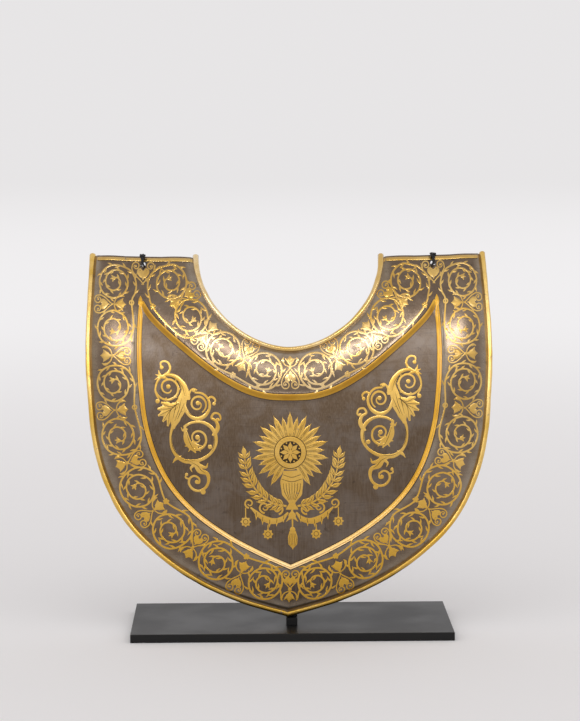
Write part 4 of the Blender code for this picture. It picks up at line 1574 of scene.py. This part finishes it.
def camera():
    data = bpy.data.cameras.new("camera")
    data.sensor_width = SENSOR
    data.lens = FOCAL_PIXELS * SENSOR / max(IMAGE_WIDTH, IMAGE_HEIGHT)
    data.clip_start, data.clip_end = 0.05, 60
    made = bpy.data.objects.new("camera", data)
    bpy.context.scene.collection.objects.link(made)
    turn = Matrix.Rotation(-CAMERA_YAW, 3, "Z") @ Matrix.Rotation(-CAMERA_PITCH, 3, "X")
    right, ahead, up = turn.col[0], turn.col[1], turn.col[2]
    rolled_right = right * cos(CAMERA_ROLL) + up * sin(CAMERA_ROLL)
    rolled_up = up * cos(CAMERA_ROLL) - right * sin(CAMERA_ROLL)
    axes = Matrix((rolled_right, rolled_up, -ahead)).transposed().to_4x4()
    place = Vector((CAMERA_RIGHT, BASE_LOW.y + CAMERA_AHEAD, BASE_HIGH.z + CAMERA_UP)) * MM
    made.matrix_world = Matrix.Translation(place) @ axes
    bpy.context.scene.camera = made


def main():
    scene = bpy.context.scene
    scene.view_settings.view_transform = "Standard"
    camera()
    surroundings()
    stage()
    softboxes()

    steel, engraved = steel_material(), engraved_material()
    # The height settings below paint shade: bottom, top, richer_low and richer_top darken and deepen the
    # gold low down and at the top; paler_low paints the floor's reflection on the strips.
    bright = gold_material(
        "gilding", (0.66, 0.375, 0.043), (0.80, 0.51, 0.115),
        grit=0.045, richer_low=0.5, bottom=0.9
    )
    scroll_gold = gold_material(
        "border_gilding", (0.71, 0.41, 0.06), (0.85, 0.56, 0.15), richer_low=0.95, top=0.76
    )
    neck_gold = gold_material(
        "polished_gilding", (0.73, 0.47, 0.12), (0.94, 0.74, 0.42),
        smooth=0.16, coarse=0.28, wear=0.07, worn=(0.56, 0.48, 0.36), grit=0.006
    )
    neck_scroll_gold = gold_material(
        "neck_border_gilding", (0.67, 0.425, 0.12), (0.86, 0.64, 0.33),
        smooth=0.18, coarse=0.32, worn=(0.46, 0.38, 0.28), grit=0.015,
        top=0.86, top_shade_heights=(NECK_TOP_SHADE_LOW, NECK_TOP_SHADE_HIGH), richer_top=0.7
    )
    edge_gold = gold_material(
        "rubbed_gilding", (0.68, 0.42, 0.06), (0.90, 0.64, 0.23), wax=0.5,
        smooth=0.26, coarse=0.40, wear=0.09, worn=(0.32, 0.24, 0.17), grit=0.012,
        richer_low=0.6, bottom=0.58
    )
    strip_gold = gold_material(
        "strip_gilding", (0.50, 0.25, 0.016), (0.64, 0.36, 0.04), wax=0.3,
        smooth=0.34, coarse=0.50, wear=0.03, paler_low=0.75
    )
    paint, thread = paint_material(), cord_material()

    plate = piece("plate_skin", plate_mesh(), steel, "steel", "gorget_plate")
    skin = Skin(plate)
    drill(plate)
    outer_roll = roll_mesh(OUTER, OUTER_AWAY, OUTER_OVERHANG, 0)
    piece("outer_roll", outer_roll, edge_gold, "gilding", smooth=radians(50))
    neck_roll = roll_mesh(NECK, NECK_AWAY, NECK_OVERHANG, 5)
    piece("neck_roll", neck_roll, neck_gold, "gilding", smooth=radians(50))

    edging, grooves = strips()
    piece("gilt_strips", edging.drape(skin), strip_gold, "gilding")
    outer_scrolls, neck_scrolls = borders()
    piece("border_scrolls", outer_scrolls.drape(skin), scroll_gold, "gilding")
    piece("neck_scrolls", neck_scrolls.drape(skin), neck_scroll_gold, "gilding")
    sprays, cuts = spray()
    sprays.mirror(SPRAY_SHIFT)
    cuts.mirror(SPRAY_SHIFT)
    middle, lines = emblem()
    cuts.add(lines)
    cuts.add(grooves)
    piece("field_sprays", sprays.drape(skin), bright, "gilding")
    piece("field_emblem", middle.drape(skin), bright, "gilding")
    piece("engraved_lines", cuts.drape(skin), engraved, "steel")

    for side, node in ((-1, "tie_left"), (1, "tie_right")):
        piece(node + "_cord", tie_mesh(side), thread, "black_cord", node, smooth=radians(60))
    for node in ("stand_base", "stand_post"):
        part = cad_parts[node]
        for place in part.material_slots:
            place.material = paint

    bpy.context.view_layer.update()


main()
